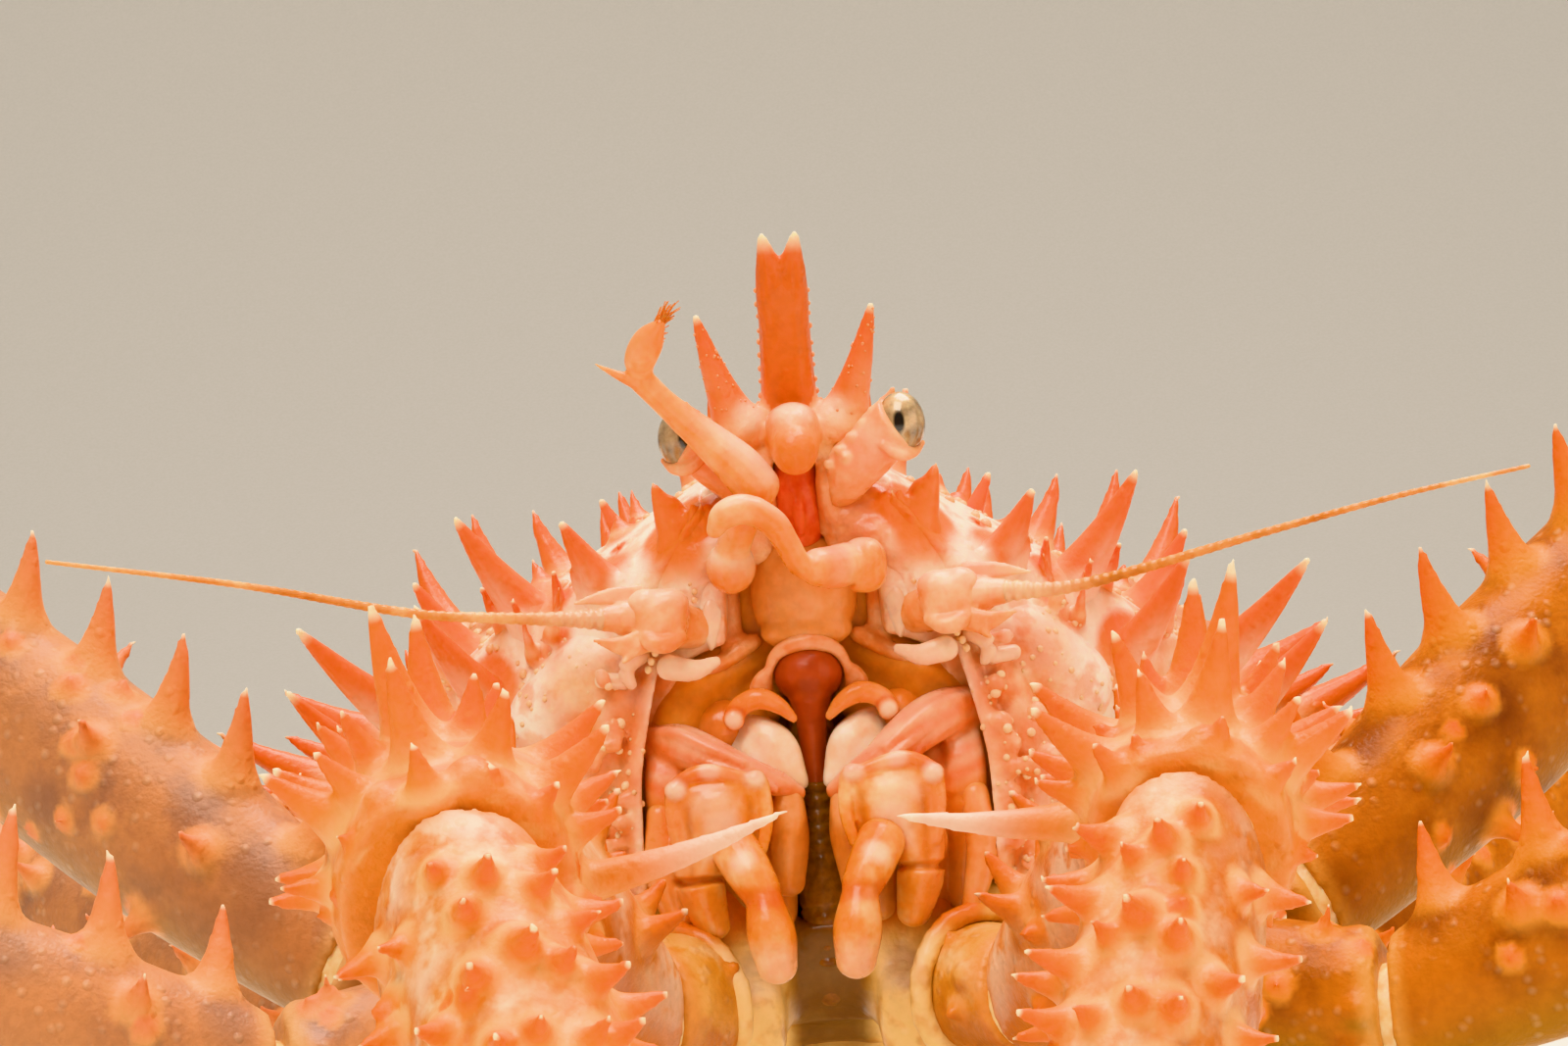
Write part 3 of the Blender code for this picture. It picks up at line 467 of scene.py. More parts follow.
def shellMaterial(name, look):
    # Chalky, moulted crab shell: hard, a little see-through at thin edges, with a damp satin gloss
    # over fine granules. Spines turn from the ground colour to orange-red with pale horny tips.
    material, shader, add = newMaterial(name)
    place = add("TexCoord", {}, "Object")
    cloud = {
        part: add("TexNoise", {"Vector": place, "Scale": 1 / (size * mm), "Detail": fine,
                               "Roughness": rough})
        for part, (size, fine, rough) in shellLook["clouds"].items()
    }
    marks = {part: add("Attribute", {}, "Fac", attribute_name=part)
             for part in ("valley", "joint", "thornShare")}
    tones = ((0.34, look["deep"]), (0.5, look["ground"]), (0.68, look["pale"]))
    colour = add("ValToRGB", {0: cloud["mottle"]}, stops=tones)
    kept = add("ValToRGB", {0: cloud["flecks"]}, stops=((0.38, look["patch"]), (0.5, 1)))
    hollows = add("Math", {0: marks["valley"], 1: kept}, operation="MULTIPLY")
    layers = [(hollows, look["valley"])]
    if "spot" in look:
        cells = {"Vector": place, "Scale": 1 / (shellLook["spots"] * mm), "Smoothness": 0.6}
        dots = add("TexVoronoi", cells, feature="SMOOTH_F1")
        dots = add("ValToRGB", {0: dots}, stops=((0.16, look["spotDepth"]), (0.42, 0)))
        offJoint = add("Math", {0: 1, 1: marks["joint"]}, operation="SUBTRACT")
        dots = add("Math", {0: dots, 1: offJoint}, operation="MULTIPLY")
        layers += [("under", look["under"]), (dots, look["spot"])]
    domes = add("TexVoronoi", {"Vector": place, "Scale": 1 / (shellLook["granules"] * mm)})
    domes = add("ValToRGB", {0: domes}, stops=((0.1, 1), (0.36, 0)))
    bare = add("ValToRGB", {0: cloud["bare"]}, stops=((0.42, 0), (0.56, 1)))
    domes = add("Math", {0: domes, 1: bare}, operation="MULTIPLY")
    lightDomes = add("Math", {0: domes, 1: look["flecks"]}, operation="MULTIPLY")
    spine = ((0, look["thornRoot"]), (look["thornTurn"], look["thornMid"]), (0.78, look["thornHigh"]),
             (0.9, look["thornHigh"]), (0.972, look["thornTip"]))
    layers += [
        (lightDomes, look["stud"]),
        ("joint", look["joint"]),
        ("thornCover", add("ValToRGB", {0: marks["thornShare"]}, stops=spine)),
        ("glow", look["thornMid"]),  # saturated places
        ("amber", "#EE8A3C"),  # yellower places
        ("lining", "#DA701F"),  # orange insides
        ("shade", "#B4540E"),  # browner places: brown of the shell, and painted shade in furrows, on undersides and lower down
        ("cleft", "#CC4418"),  # red folds
        ("bone", "#FEF2E0"),  # pale places, and painted highlights on raised and upward-facing places
        ("blush", "#F07A58"),  # pink where the shell is thin
        ("horn", "#5C3A14"),  # dark tips, and painted shade deep in the mouth and down the breast's channel
        ("stud", look["stud"]),
    ]
    for share, tint in layers:
        if isinstance(share, str):
            share = add("Attribute", {}, "Fac", attribute_name=share)
        colour = add("Mix", {0: share, 6: colour, 7: tint}, 2, data_type="RGBA")
    speck = add("ValToRGB", {0: cloud["speck"]}, stops=((0.35, 0.86), (0.62, 1)))
    colour = add("Mix", {0: 0.7, 6: colour, 7: speck}, 2, data_type="RGBA", blend_type="MULTIPLY")
    gloss = {"Value": cloud["mottle"], "From Min": 0.3, "From Max": 0.7, "To Min": look["gloss"] - 0.06,
             "To Max": look["gloss"] + 0.08}
    height = {0: domes, 1: shellLook["granuleHeight"], 2: cloud["grain"]}
    bump = {"Height": add("Math", height, operation="MULTIPLY_ADD"), "Strength": look["bump"],
            "Distance": 0.00025}
    setSockets(shader, {
        "Base Color": colour, "Roughness": add("MapRange", gloss), "Normal": add("Bump", bump),
        "Subsurface Weight": look["glowThrough"], "Subsurface Radius": (1, 0.46, 0.22),
        "Subsurface Scale": shellLook["light"], "IOR": shellLook["refraction"],
        "Specular IOR Level": look["shine"], "Coat Weight": look["coat"], "Coat Roughness": 0.14,
        "Coat IOR": 1.4,
    })
    return material


def lookFrom(base, tones, **changes):
    # a look whose four ground tones and some other values differ from the base's
    return dict(base, **dict(zip(("ground", "deep", "pale", "valley"), tones.split())), **changes)


carapaceLook = {
    "ground": "#F0924C", "deep": "#E27024", "pale": "#FAC892", "valley": "#FFF2E0", "joint": "#F9D2A0",
    "thornRoot": "#FBD0A2", "thornMid": "#EE8034", "thornHigh": "#E87024", "thornTip": "#FBEAC4",
    "thornTurn": 0.3,  # share of a spine's length where it has turned to its middle colour
    "stud": "#FCE0B8", "flecks": 0.4,  # colour of the granules, and how far the low ones take it
    "patch": 0.45,  # share of the hollows' paleness that is left in the orange flecks
    "gloss": 0.36, "bump": 0.35, "coat": 0.4, "shine": 0.4,
    "glowThrough": 0.18,  # share of the light that enters the shell
}
limbLook = lookFrom(carapaceLook, "#A85C18 #84400E #C87C30 #B86A20", under="#A07020", spot="#6C2E0A",
                    spotDepth=0.6, joint="#E0A860", thornRoot="#DC9244", thornMid="#EC8A34",
                    thornHigh="#E6741E", thornTurn=0.36, gloss=0.42, bump=0.4, flecks=0.14, patch=0.6,
                    coat=0.08, glowThrough=0, shine=0.22)
clawLook = lookFrom(limbLook, "#EA9A52 #D06C20 #FCE2BA #FDE8CC", spotDepth=0.45, under="#E0983E",
                    spot="#B4541A", joint="#EEA05C", thornRoot="#F8C488", thornMid="#F2923C",
                    thornHigh="#EC7C2A", thornTurn=0.34, flecks=0.3, patch=0.1, coat=0.2, shine=0.3)
coxaLook = lookFrom(clawLook, "#DC9C44 #B8701C #FBE8B4 #F0C478", under="#B88434", spotDepth=0.1,
                    thornMid="#E8A050", thornHigh="#E08C3C")
undersideLook = lookFrom(carapaceLook, "#CC8434 #AC661E #ECBC74 #F2CC84", joint="#ECC47C", gloss=0.42,
                         bump=0.22, flecks=0.16, coat=0.3, glowThrough=0)
cuticleLook = lookFrom(carapaceLook, "#F8AE76 #F09252 #FDD8B0 #FABE8C", thornMid="#F4A068",
                       thornHigh="#F09058", gloss=0.28, bump=0.12, flecks=0.1, glowThrough=0.25)

shellSkin = shellMaterial("limyShellCarapace", carapaceLook)
limbSkin = shellMaterial("limyShellWalkingLeg", limbLook)
clawSkin = shellMaterial("limyShellClaw", clawLook)
coxaSkin = shellMaterial("limyShellCoxa", coxaLook)
undersideSkin = shellMaterial("limyShellUnderside", undersideLook)
cuticleSkin = shellMaterial("thinCuticleAntenna", cuticleLook)
# Thin cuticle of the other small parts, in tones of its own
antennuleSkin, stalkSkin, maxillipedSkin, innerSkin, shieldSkin, wallSkin, whipSkin = (
    shellMaterial("thinCuticle" + part, lookFrom(cuticleLook, tones, gloss=gloss))
    for part, tones, gloss in (
        ("Antennule", "#F8AA64 #F09046 #FDD2A0 #FAB670", 0.28),
        ("Eyestalk", "#FAB482 #F49C66 #FDDAB6 #FBC296", 0.28),
        ("Maxilliped", "#F4A250 #E07E2C #FDD89E #F8B462", 0.28),
        ("InnerMouth", "#F4A468 #E88A4A #FBCEA2 #F6B27C", 0.28),
        ("FaceShield", "#E89C5E #E08C4C #F0AE76 #EAA062", 0.34),
        ("MouthWall", "#EC9C4C #DE8838 #F4B26A #EEA254", 0.36),
        ("Flagellum", "#D89858 #C07C3C #ECC48C #D89858", 0.28),
    ))


def softMaterial(name, colour, deep, gloss, depth, grain=1.2, coat=0.3):
    # Unhardened cuticle between plates: leathery, creased and faintly wet, lit from inside at thin edges
    material, shader, add = newMaterial(name)
    place = add("TexCoord", {}, "Object")
    cloud = add("TexNoise", {"Vector": place, "Scale": 1 / (grain * mm), "Detail": 4})
    setSockets(shader, {
        "Base Color": add("ValToRGB", {0: cloud}, stops=((0.35, deep), (0.62, colour))),
        "Normal": add("Bump", {"Height": cloud, "Strength": 0.25, "Distance": 0.0003}),
        "Roughness": gloss, "IOR": 1.45, "Coat Weight": coat, "Coat Roughness": 0.12,
        "Subsurface Weight": 0.35, "Subsurface Radius": (1, 0.4, 0.2), "Subsurface Scale": depth,
    })
    return material


membraneSkin = softMaterial("leatheryJointMembrane", "#FBE2B0", "#EEC07C", 0.42, 0.0015)
labrumSkin = softMaterial("wetLipCuticle", "#B64E28", "#9A3C1A", 0.4, 0.001, 2.6, 0.12)
rimSkin = softMaterial("paleLipRim", "#F6B488", "#EE955F", 0.3, 0.0014)
mandibleSkin = softMaterial("hardenedJawIvory", "#FBEEDC", "#F5D6B4", 0.26, 0.0012, 2.2)
cleftSkin = softMaterial("redCleftMembrane", "#EC7248", "#DA4E26", 0.4, 0.0012, 1.2, 0.2)
# dark brown of the throat: its own darker skin, deepened as painted shade
throatSkin = softMaterial("throatMembrane", "#8E5A22", "#6E4014", 0.4, 0.0012, 0.8, 0.2)
hairSkin = softMaterial("tanBristles", "#D98A4A", "#B96A30", 0.5, 0.0004, 0.6, 0)

corneaLook = {
    "centre": (9.3, -1.9, 7.8), "size": (2.1, 2, 2.65), "facing": (0.8, -0.58, 0.1),
    "spot": (9.1, 7.85),  # the dark spot that faces the front, mm across and up
    "spotSize": (0.58, 1.2),
    "facets": 0.16,  # mm between the facets of the eye
    "haze": 1.4,  # mm, cloudy tones behind the lens
}


def corneaMaterial(name, side):
    # Faceted eye behind a smooth clear lens: pearly grey-beige under a wet, mirror-like gloss
    material, shader, add = newMaterial(name)
    place = add("TexCoord", {}, "Object")
    (across, up), (wide, tall) = corneaLook["spot"], corneaLook["spotSize"]
    centre = (across * side * mm, 0, (up + faceHeight) * mm)
    offset = add("VectorMath", {0: place, 1: centre}, operation="SUBTRACT")
    offset = add("VectorMath", {0: offset, 1: (1 / (wide * mm), 0, 1 / (tall * mm))}, operation="MULTIPLY")
    reach = add("VectorMath", {0: offset}, "Value", operation="LENGTH")
    facets = add("TexVoronoi", {"Vector": place, "Scale": 1 / (corneaLook["facets"] * mm)})
    haze = add("TexNoise", {"Vector": place, "Scale": 1 / (corneaLook["haze"] * mm), "Detail": 3})
    tone = add("ValToRGB", {0: haze}, stops=((0.3, "#7C664C"), (0.55, "#B39873"), (0.75, "#D9C19A")))
    spot = add("ValToRGB", {0: reach}, stops=((0.62, 1), (1, 0)))
    tone = add("Mix", {0: spot, 6: tone, 7: "#1E1712"}, 2, data_type="RGBA")
    lines = add("ValToRGB", {0: facets}, stops=((0.25, 1), (0.75, 0.8)))
    tone = add("Mix", {0: 0.5, 6: tone, 7: lines}, 2, data_type="RGBA", blend_type="MULTIPLY")
    setSockets(shader, {
        "Base Color": tone, "Roughness": 0.22, "IOR": 1.5, "Coat Weight": 1, "Coat Roughness": 0.03,
        "Subsurface Weight": 0.15, "Subsurface Scale": 0.0006,
    })
    return material


print("stage: materials")

# The carapace. Stations run from the rostrum's root back along the raised body: distance, half
# width, height of the back, height of the margin, roundness, flank and breast half width and height

bodyPitch = math.radians(22)
rostrumRoot = np.array((0, 0, faceHeight + 9))
bodyStations = np.array((
    (-1, 4.6, 1, -2.4, 1.3, 3.6, -3.4, 2.2, -4.2),
    (3, 10, 2, -8.6, 1.2, 9.4, -9.6, 6, -10.4),
    (8, 17.5, 2.6, -11, 1.2, 13.6, -17, 9, -21),
    (14, 25, 3.8, -12, 1.2, 17, -27, 10, -34.5),
    (20, 31, 5.6, -14, 1.2, 18, -34, 10.5, -45),
    (28, 35.5, 7.4, -15, 1.25, 19, -34, 11, -45),
    (38, 40, 8, -14.5, 1.4, 21, -33, 13, -43),
    (50, 44.5, 8, -13.5, 1.8, 23, -31, 15, -41),
    (62, 48, 8.6, -12.5, 2, 25, -29, 18, -39),
    (74, 49.5, 8.2, -12, 2, 27, -27, 20, -36),
    (84, 46.5, 6.4, -12, 2, 27, -25, 20, -32),
    (92, 40, 3.2, -12.5, 2, 25, -23, 18, -28.5),
    (98, 32, -1, -13.5, 2, 22, -20, 15, -24.5),
    (101.5, 22, -7, -14, 2, 17, -17.5, 10, -19.5),
))
backSwellings = ((24, 0, 1.6, 10, 9), (64, 0, 1.8, 9, 8), (60, 27, 2.4, 17, 13), (80, 20, 1.6, 10, 10))
# Furrows of the back: two ends, each as distance along and from the midline, depth and half width
backFurrows = (
    ((37, 0), (33, 13), 1, 1.6), ((33, 13), (24, 24), 1.1, 1.7), ((44, 9), (62, 12.5), 0.9, 1.4),
    ((62, 12.5), (76, 8), 0.9, 1.4), ((76, 8), (77, 0), 0.7, 1.4), ((44, 9), (38, 5), 0.8, 1.4),
    ((47, 14), (43, 30), 0.7, 1.6), ((78, 9), (92, 10), 0.7, 1.6),
)
# Spines of the face, at the solids' places: root, tip, radius
faceThorns = (
    ((4.5, 0.5, 8.6), (7.5, -3, 18.2), 1.9),
    ((9.2, 2, -2.4), (12.1, -1, 4.2), 2.4),
    ((8.4, 1.4, -2), (8.9, -1.8, 2.2), 1.4),
    ((16.2, 4.2, -5.4), (20.2, 0, 1.6), 2.2),
    ((20.8, 7.2, -6.6), (21.2, 4.2, -2.6), 0.9),
    ((22.6, 10.2, -7.8), (29.5, 4.6, 2.6), 2.5),
    ((23.4, 8.8, -9.2), (25, 4.6, -4.8), 0.9),
    ((13, 20, -4.2), (17.3, 17, 3.4), 1.7),
    ((26.4, 11.4, -15.4), (33.2, 1, -4.8), 2.5),
    ((32.4, 16.5, -17.6), (43.6, 3, -6), 2.8),
    ((36.4, 22.5, -21.4), (45.6, 12, -11.6), 2.4),
    ((29.4, 20, -10.2), (34.2, 16, -2.8), 1.9),
)
# Small spines of the face that only the render carries, in the same terms
smallThorns = (
    ((21.6, 3.4, -7.6), (20.6, 0.6, -4), 0.55), ((23.6, 5.4, -9.4), (24.2, 1.6, -5.6), 0.55),
    ((18.6, 5, -5.6), (19.8, 2.6, -2.6), 0.7), ((25.8, 12, -8.2), (27.8, 9.4, -3.6), 1),
    ((14.6, 8, -4), (15.6, 5.6, -0.6), 0.9), ((10.6, 6.6, -1), (11.4, 4.4, 2.2), 0.9),
    ((30.4, 9.4, -17.4), (33.8, 4.4, -13), 1), ((28, 6.4, -20), (29.6, 2.6, -17.2), 0.8),
    ((34.2, 14, -22), (37.6, 8.8, -18.6), 1.1), ((31, 12.6, -10.6), (33.2, 9, -6.6), 1.1),
)
# Spines of the back: distance along and from the midline, length, radius, lean back and outwards
backThorns = (
    (19, 5.5, 7, 1.6, -0.35, 0.25), (31, 8, 10, 1.9, -0.15, 0.3), (31, 21, 7.5, 1.7, -0.3, 0.45),
    (40, 14.5, 6.5, 1.5, -0.1, 0.3), (45, 27, 10.5, 1.9, -0.2, 0.35), (47, 5, 5.5, 1.4, 0, 0.15),
    (55, 17, 8, 1.7, -0.05, 0.2), (60, 33, 11, 2, -0.1, 0.4), (62, 6, 10, 1.9, 0, 0.2),
    (69, 24, 9, 1.8, 0.05, 0.25), (75, 36, 9, 1.8, 0.05, 0.45), (77, 11, 7, 1.6, 0.15, 0.2),
    (84, 24, 9.5, 1.8, 0.2, 0.3), (90, 8, 7.5, 1.6, 0.3, 0.15), (93, 20, 7, 1.5, 0.4, 0.3),
)
# Spines of the margin: distance along, length, radius, lean back
marginThorns = (
    (36, 11, 2.1, -0.55), (44, 8, 1.7, -0.4), (51, 13, 2.2, -0.35), (59, 8.5, 1.8, -0.15),
    (66, 13.5, 2.2, -0.05), (73, 8.5, 1.8, 0.1), (80, 12.5, 2.1, 0.3), (87, 8, 1.7, 0.55),
    (93.5, 11, 1.9, 0.85), (99, 7, 1.6, 1.3),
)
carapace = {
    "voxel": 0.58,  # mm, fineness of the shell's mesh
    "faceVoxel": 0.345,  # mm, the same for the rostrum, the spines of the face and the folds by the mouth
    "easing": 5,  # smoothing passes over the joins
    "domePoints": 30, "flankPoints": 16,
    "extraThorns": 46,  # small spines strewn between the named ones
    "thornGap": 5.2,  # mm that they keep from each other
    # granules: number, seed, smallest and largest radius in mm, share of the stud colour
    "backGranules": (1100, 3, 0.22, 0.6, 0.5),
    "cheekGranules": (420, 4, 0.12, 0.34, 0.6),
    "mouthTop": -10, "mouthBottom": -34, "mouthDepth": 9,
    "shellEdge": 0.35,  # mm, half the furrow between shell and breast
    # the hollow that the eyes and antennules stand in: height, half width and depth at each level
    "faceHollow": ((7.6, 4.4, 2.4), (6, 7.4, 3.4), (3.4, 8.4, 4), (0, 7.2, 4), (-4, 6.6, 4.2),
                   (-8, 6.8, 4.4), (-11, 6.8, 4.6)),
}
rostrum = {"root": (0, 2.5, 8.4), "fork": (0, -5.2, 20.2), "denticles": 10, "sideDenticles": 26}
flap = {
    # edge and back of the fold beside the mouth, and the white pearls on it
    "edge": ((12.2, -1.3, -10.6), (12.8, -1.7, -12.4), (13.8, -2.2, -16.4), (14.6, -2.5, -20.6),
             (14.8, -2.5, -24.6), (14.8, -2.4, -28.4), (14.4, -1.4, -32)),
    "back": ((16, 5, -11), (17.2, 6, -12.4), (19.4, 6.6, -16.6), (21, 7, -21), (20.8, 6.6, -25),
             (20, 6, -29), (18, 6, -32)),
    "bosses": 16,
    "pearls": ((16.7, -2, -13.2), (15.7, -2, -15.7), (16.3, -2, -18.6), (16.5, -2, -21.1),
               (17.7, -2, -23.1), (18.6, -1, -19.2), (18.8, -1, -22), (17, -2, -25.4),
               (16.4, -2, -27.6), (19.6, 0, -16.4)),
    "pearlSizes": (0.42, 0.38, 0.5, 0.5, 0.45, 0.35, 0.35, 0.45, 0.4, 0.3),
}
# Places of the face painted paler, as pale ground and painted highlights on the ridges: place, radius, how
# pale
palePlaces = (((13.8, 1.6, -4.4), 3.4, 0.75), ((18.4, 3.6, -5.8), 3, 0.6), ((24.4, 7.4, -8.2), 3.2, 0.6),
              ((29, 10, -14), 3.6, 0.6), ((34, 13.6, -15), 3.8, 0.6), ((37, 12, -13.6), 3.4, 0.5))
# Walls and folds round the hollow of the face, left side
faceWall = (
    ("bar", ((10.9, 3, -8), (10.4, 1.6, -5.2), (10, 1, -2.2), (10.2, 0.6, 0.2), (10.9, 0, 2)),
     (3, 2.75, 2.35, 1.9, 1.2), {"around": 22}),
    ("bar", ((9.2, 1.4, -2.4), (8.4, 0, 0), (7.8, -0.7, 1.6)), (2, 1.5, 0.7)),
    ("ball", (6.3, 1.6, 0.6), (3, 2.3, 2.5)),  # floor of the eye's hollow
    ("bar", ((3.6, 1, -1.9), (6.2, 0.2, -1.6), (9, 0.4, -2.6)), (1.6, 1.9, 2.1)),
    ("ball", (13.8, 3, -4.9), (2.5, 2.4, 2.4)),
    ("ball", (4.3, 0.7, -0.3), (2, 1.7, 2)),
    ("bar", ((9.4, 3.4, -2), (13, 3.8, -4.8), (16.4, 4.8, -6.4)), (2.2, 2.1, 2.5)),
    ("bar", ((16.4, 5, -6.4), (20, 7, -8.2), (23.4, 10.2, -9.6)), (2.6, 2.3, 2.8)),
    ("bar", ((23.6, 10.8, -9.6), (26, 12, -13), (27.4, 12.4, -17)), (2.8, 2.5, 3.1)),
    ("bar", ((27.4, 12.8, -17.4), (31, 15.5, -19.4), (35.4, 20.5, -22.5)), (3.1, 2.9, 3.1)),
    ("bar", ((26.6, 11.6, -16), (25.4, 9.4, -22), (24, 9.4, -29)), (2.8, 3.2, 3)),
    ("bar", ((33, 17.5, -18.6), (31, 15.6, -25), (28, 14.5, -31)), (3, 3.2, 3)),
    ("bar", ((13.4, 4.4, -9.4), (18, 4.4, -12), (22, 6.6, -16)), (3.4, 4.2, 4.4)),
    ("bar", ((4.4, 2, -9.9), (7.6, 1.4, -11.6), (11, 0.2, -11.9)), (0.8, 0.8, 0.8)),
    ("bar", ((6.6, 3.4, -2.6), (6.4, 3, -6), (6.4, 2.6, -10.4)), (1.5, 1.1, 1.1)),
)
smoothStations = smoothRun(bodyStations, 6)


def bodyPoint(along, across, height):
    forward = np.array((0, math.cos(bodyPitch), -math.sin(bodyPitch)))
    upward = np.array((0, math.sin(bodyPitch), math.cos(bodyPitch)))
    along, across, height = np.broadcast_arrays(along, across, height)
    return (rostrumRoot + forward * along[..., None] + upward * height[..., None]
            + np.array((1, 0, 0)) * across[..., None])


def stationAt(along):
    return np.array([np.interp(along, smoothStations[:, 0], smoothStations[:, k]) for k in range(9)])


def backHeight(along, across):
    _, width, top, margin, roundness = stationAt(along)[:5]
    across = np.abs(np.asarray(across, float))
    share = (across / width).clip(0, 1)
    height = margin + (top - margin) * (1 - share ** roundness) ** (1 / roundness)
    for centre, middle, rise, length, breadth in backSwellings:
        swell = np.exp(-((along - centre) / length) ** 2 - ((across - middle) / breadth) ** 2)
        height = height + rise * swell
    flatPlace = np.stack(np.broadcast_arrays(float(along), across, 0), -1).reshape(-1, 3)
    for start, end, depth, breadth in backFurrows:
        away, _ = distanceToLine(flatPlace, (*start, 0), (*end, 0))
        height = height - (depth * np.exp(-(away / breadth) ** 2)).reshape(np.shape(height))
    return height


def bodyRings():
    rings = []
    for station in smoothStations:
        along, width, _, margin, _, flankWidth, flank, breastWidth, breast = station
        turn = np.linspace(0, math.pi / 2, carapace["domePoints"], endpoint=False)
        across = width * np.sin(turn)
        height = backHeight(along, across)
        share = np.linspace(0, 1, carapace["flankPoints"])
        bow = 2.2 * np.sin(math.pi * share)
        across = np.concatenate((across, width + (flankWidth - width) * share + bow, (breastWidth,)))
        height = np.concatenate((height, margin + (flank - margin) * share - bow, (breast + 0.8,)))
        right = bodyPoint(along, across, height)
        left = bodyPoint(along, -across[1:], height[1:])
        rings.append(np.vstack((right, bodyPoint(along, 0, breast)[None], left[::-1])))
    return rings


def shellLine():
    # the lower edge of the shell, as places in the midline plane
    front = [(0, y, faceHeight - 31.5) for y in (-34, 14)]
    rear = ((30, -21), (60, -18), (94, -13.5), (130, -12.5))
    return np.vstack((front, [bodyPoint(along, 0, height) for along, height in rear]))


def halfSpace(line, reach, shift):
    # closed block above (reach > 0) or below (reach < 0) a line in the midline plane
    rings = []
    for point in line:
        start = point + np.array((0, 0, shift))
        far = np.array((start[0], start[1], start[2] + reach))
        ring = [start + (-95, 0, 0), start + (95, 0, 0), far + (95, 0, 0), far + (-95, 0, 0)]
        rings.append(ring if reach < 0 else ring[::-1])
    return loft(rings)


def hollow(levels):
    # closed form open to the front: height, half width and depth at each level
    rings = []
    for level, width, depth in levels:
        half = ((width, -14), (width - 0.3, min(2, depth - 1.6)), (width * 0.75, depth - 0.8))
        arc = smoothRun([(-x, y) for x, y in half] + [(0, depth)] + list(half[::-1]), 4)
        rings.append([facePoint((x, y, level)) for x, y in arc])
    return loft(rings)


def mouthCavity():
    levels = ((carapace["mouthTop"], 7.5), (carapace["mouthTop"] - 2, 11), (-20, 12.8), (-28, 12.8),
              (carapace["mouthBottom"], 11.5))
    return hollow([(level, width, carapace["mouthDepth"]) for level, width in smoothRun(levels, 5)])


def rostrumForms():
    root, fork = np.array(rostrum["root"]), np.array(rostrum["fork"])
    shaft = [root + (fork - root) * t for t in (0, 0.2, 0.45, 0.72, 0.88, 1)]
    radii = (2.7, 2.3, 2.15, 2.05, 1.75, 0.9)
    forms = [faceSweep(shaft, radii, around=28, flat=1.05, up=(0, -1, 0), square=2.6)]
    for side in (1, -1):
        forms += [
            faceSweep(((0.8, -3.4, 16.6), (0.95, -4.4, 18.8), (1, -5.4, 20.6), (1.06, -6.2, 21.9),
                       (1.25, -7.1, 23.2), (1.4, -7.8, 24.2)), (1.35, 1.3, 1.18, 1, 0.66, 0.34), side,
                      up=(0, -1, 0), square=2.3),
            faceBall((3.5, 0, 8.6), (1.7, 1.9, 1.6), side),  # shoulder of the rostrum
            faceBall((5.2, 3.2, 7.4), (1.8, 1.9, 1.9), side),
            faceSweep(((2.9, 0.4, 6.6), (2.7, -0.6, 4.4), (2.35, -1, 2), (2.9, -0.2, -0.2)),
                      (1.1, 0.95, 0.7, 0.55), side),  # fold beside the cleft
            faceSweep(((2, 0.6, 3.4), (1.75, 0.1, 1.4), (2, 0.5, -0.8)), (0.5, 0.5, 0.45), side),
        ]
    forms.append(faceBall((0.1, -4.2, 8.3), (2.35, 3.6, 1.85)))  # round top of the basal spine
    forms.append(faceSweep(((0.1, 1, 7.6), (0.15, -4.4, 6.8), (0.15, -7.4, 5.9)), (2.5, 2.4, 2.1),
                           around=24, flat=0.93))
    return forms


def faceWallForms():
    # towers, shield and folds that the spines of the face stand on
    return formsOf(faceWall, 1) + formsOf(faceWall, -1)


def flapForms():
    # sharp-edged fold of shell beside the mouth, with a bossed ridge behind its edge
    edge, back = flap["edge"], flap["back"]
    draw = random.Random(17)
    forms = []
    for side in (1, -1):
        rings = []
        for front, rear in zip(smoothRun(edge, 5), smoothRun(back, 5)):
            middle = (front + rear) / 2
            ring = (front, front + (0.8, 0.2, 0), front + (1.7, 1.3, 0), middle + (0.9, 0.2, 0), rear,
                    rear + (-3, 2, 0), front + (1.6, 4.6, 0), front + (0.25, 1.7, 0))
            rings.append([facePoint(p, side) for p in smoothRun(ring + (ring[0],), 4)[:-1]])
        forms.append(loft(rings))
        ridge = [np.array(e) * 0.5 + np.array(b) * 0.5 + (0.6, -1.2, 0) for e, b in zip(edge, back)]
        forms.append(faceSweep(ridge, (0.8, 1.5, 1.9, 1.8, 1.6, 1.4, 0.8), side))
        for _ in range(flap["bosses"]):  # low bosses that carry the pearls
            t = draw.uniform(0, len(edge) - 1.01)
            base = np.array(edge[int(t)]) * (1 - t % 1) + np.array(edge[int(t) + 1]) * (t % 1)
            size = draw.uniform(0.6, 1.1)
            place = base + (draw.uniform(1.6, 5.6), draw.uniform(-0.2, 0.6), 0)
            forms.append(faceBall(place, (size, size * 0.8, size), side, around=12, rows=8))
    return forms


def strewnThorns(count, seed):
    # small spines between the named ones of the back
    draw = random.Random(seed)
    taken = [(along, across) for along, across, *_ in backThorns]
    found = []
    while len(found) < count:
        along = draw.uniform(12, 98)
        across = draw.uniform(1.5, stationAt(along)[1] * 0.9)
        if min((along - a) ** 2 + (across - b) ** 2 for a, b in taken) < carapace["thornGap"] ** 2:
            continue
        taken.append((along, across))
        found.append((along, across, draw.uniform(1.6, 3.6), draw.uniform(0.8, 1.25),
                      draw.uniform(-0.3, 0.1), draw.uniform(0.1, 0.35)))
    return found


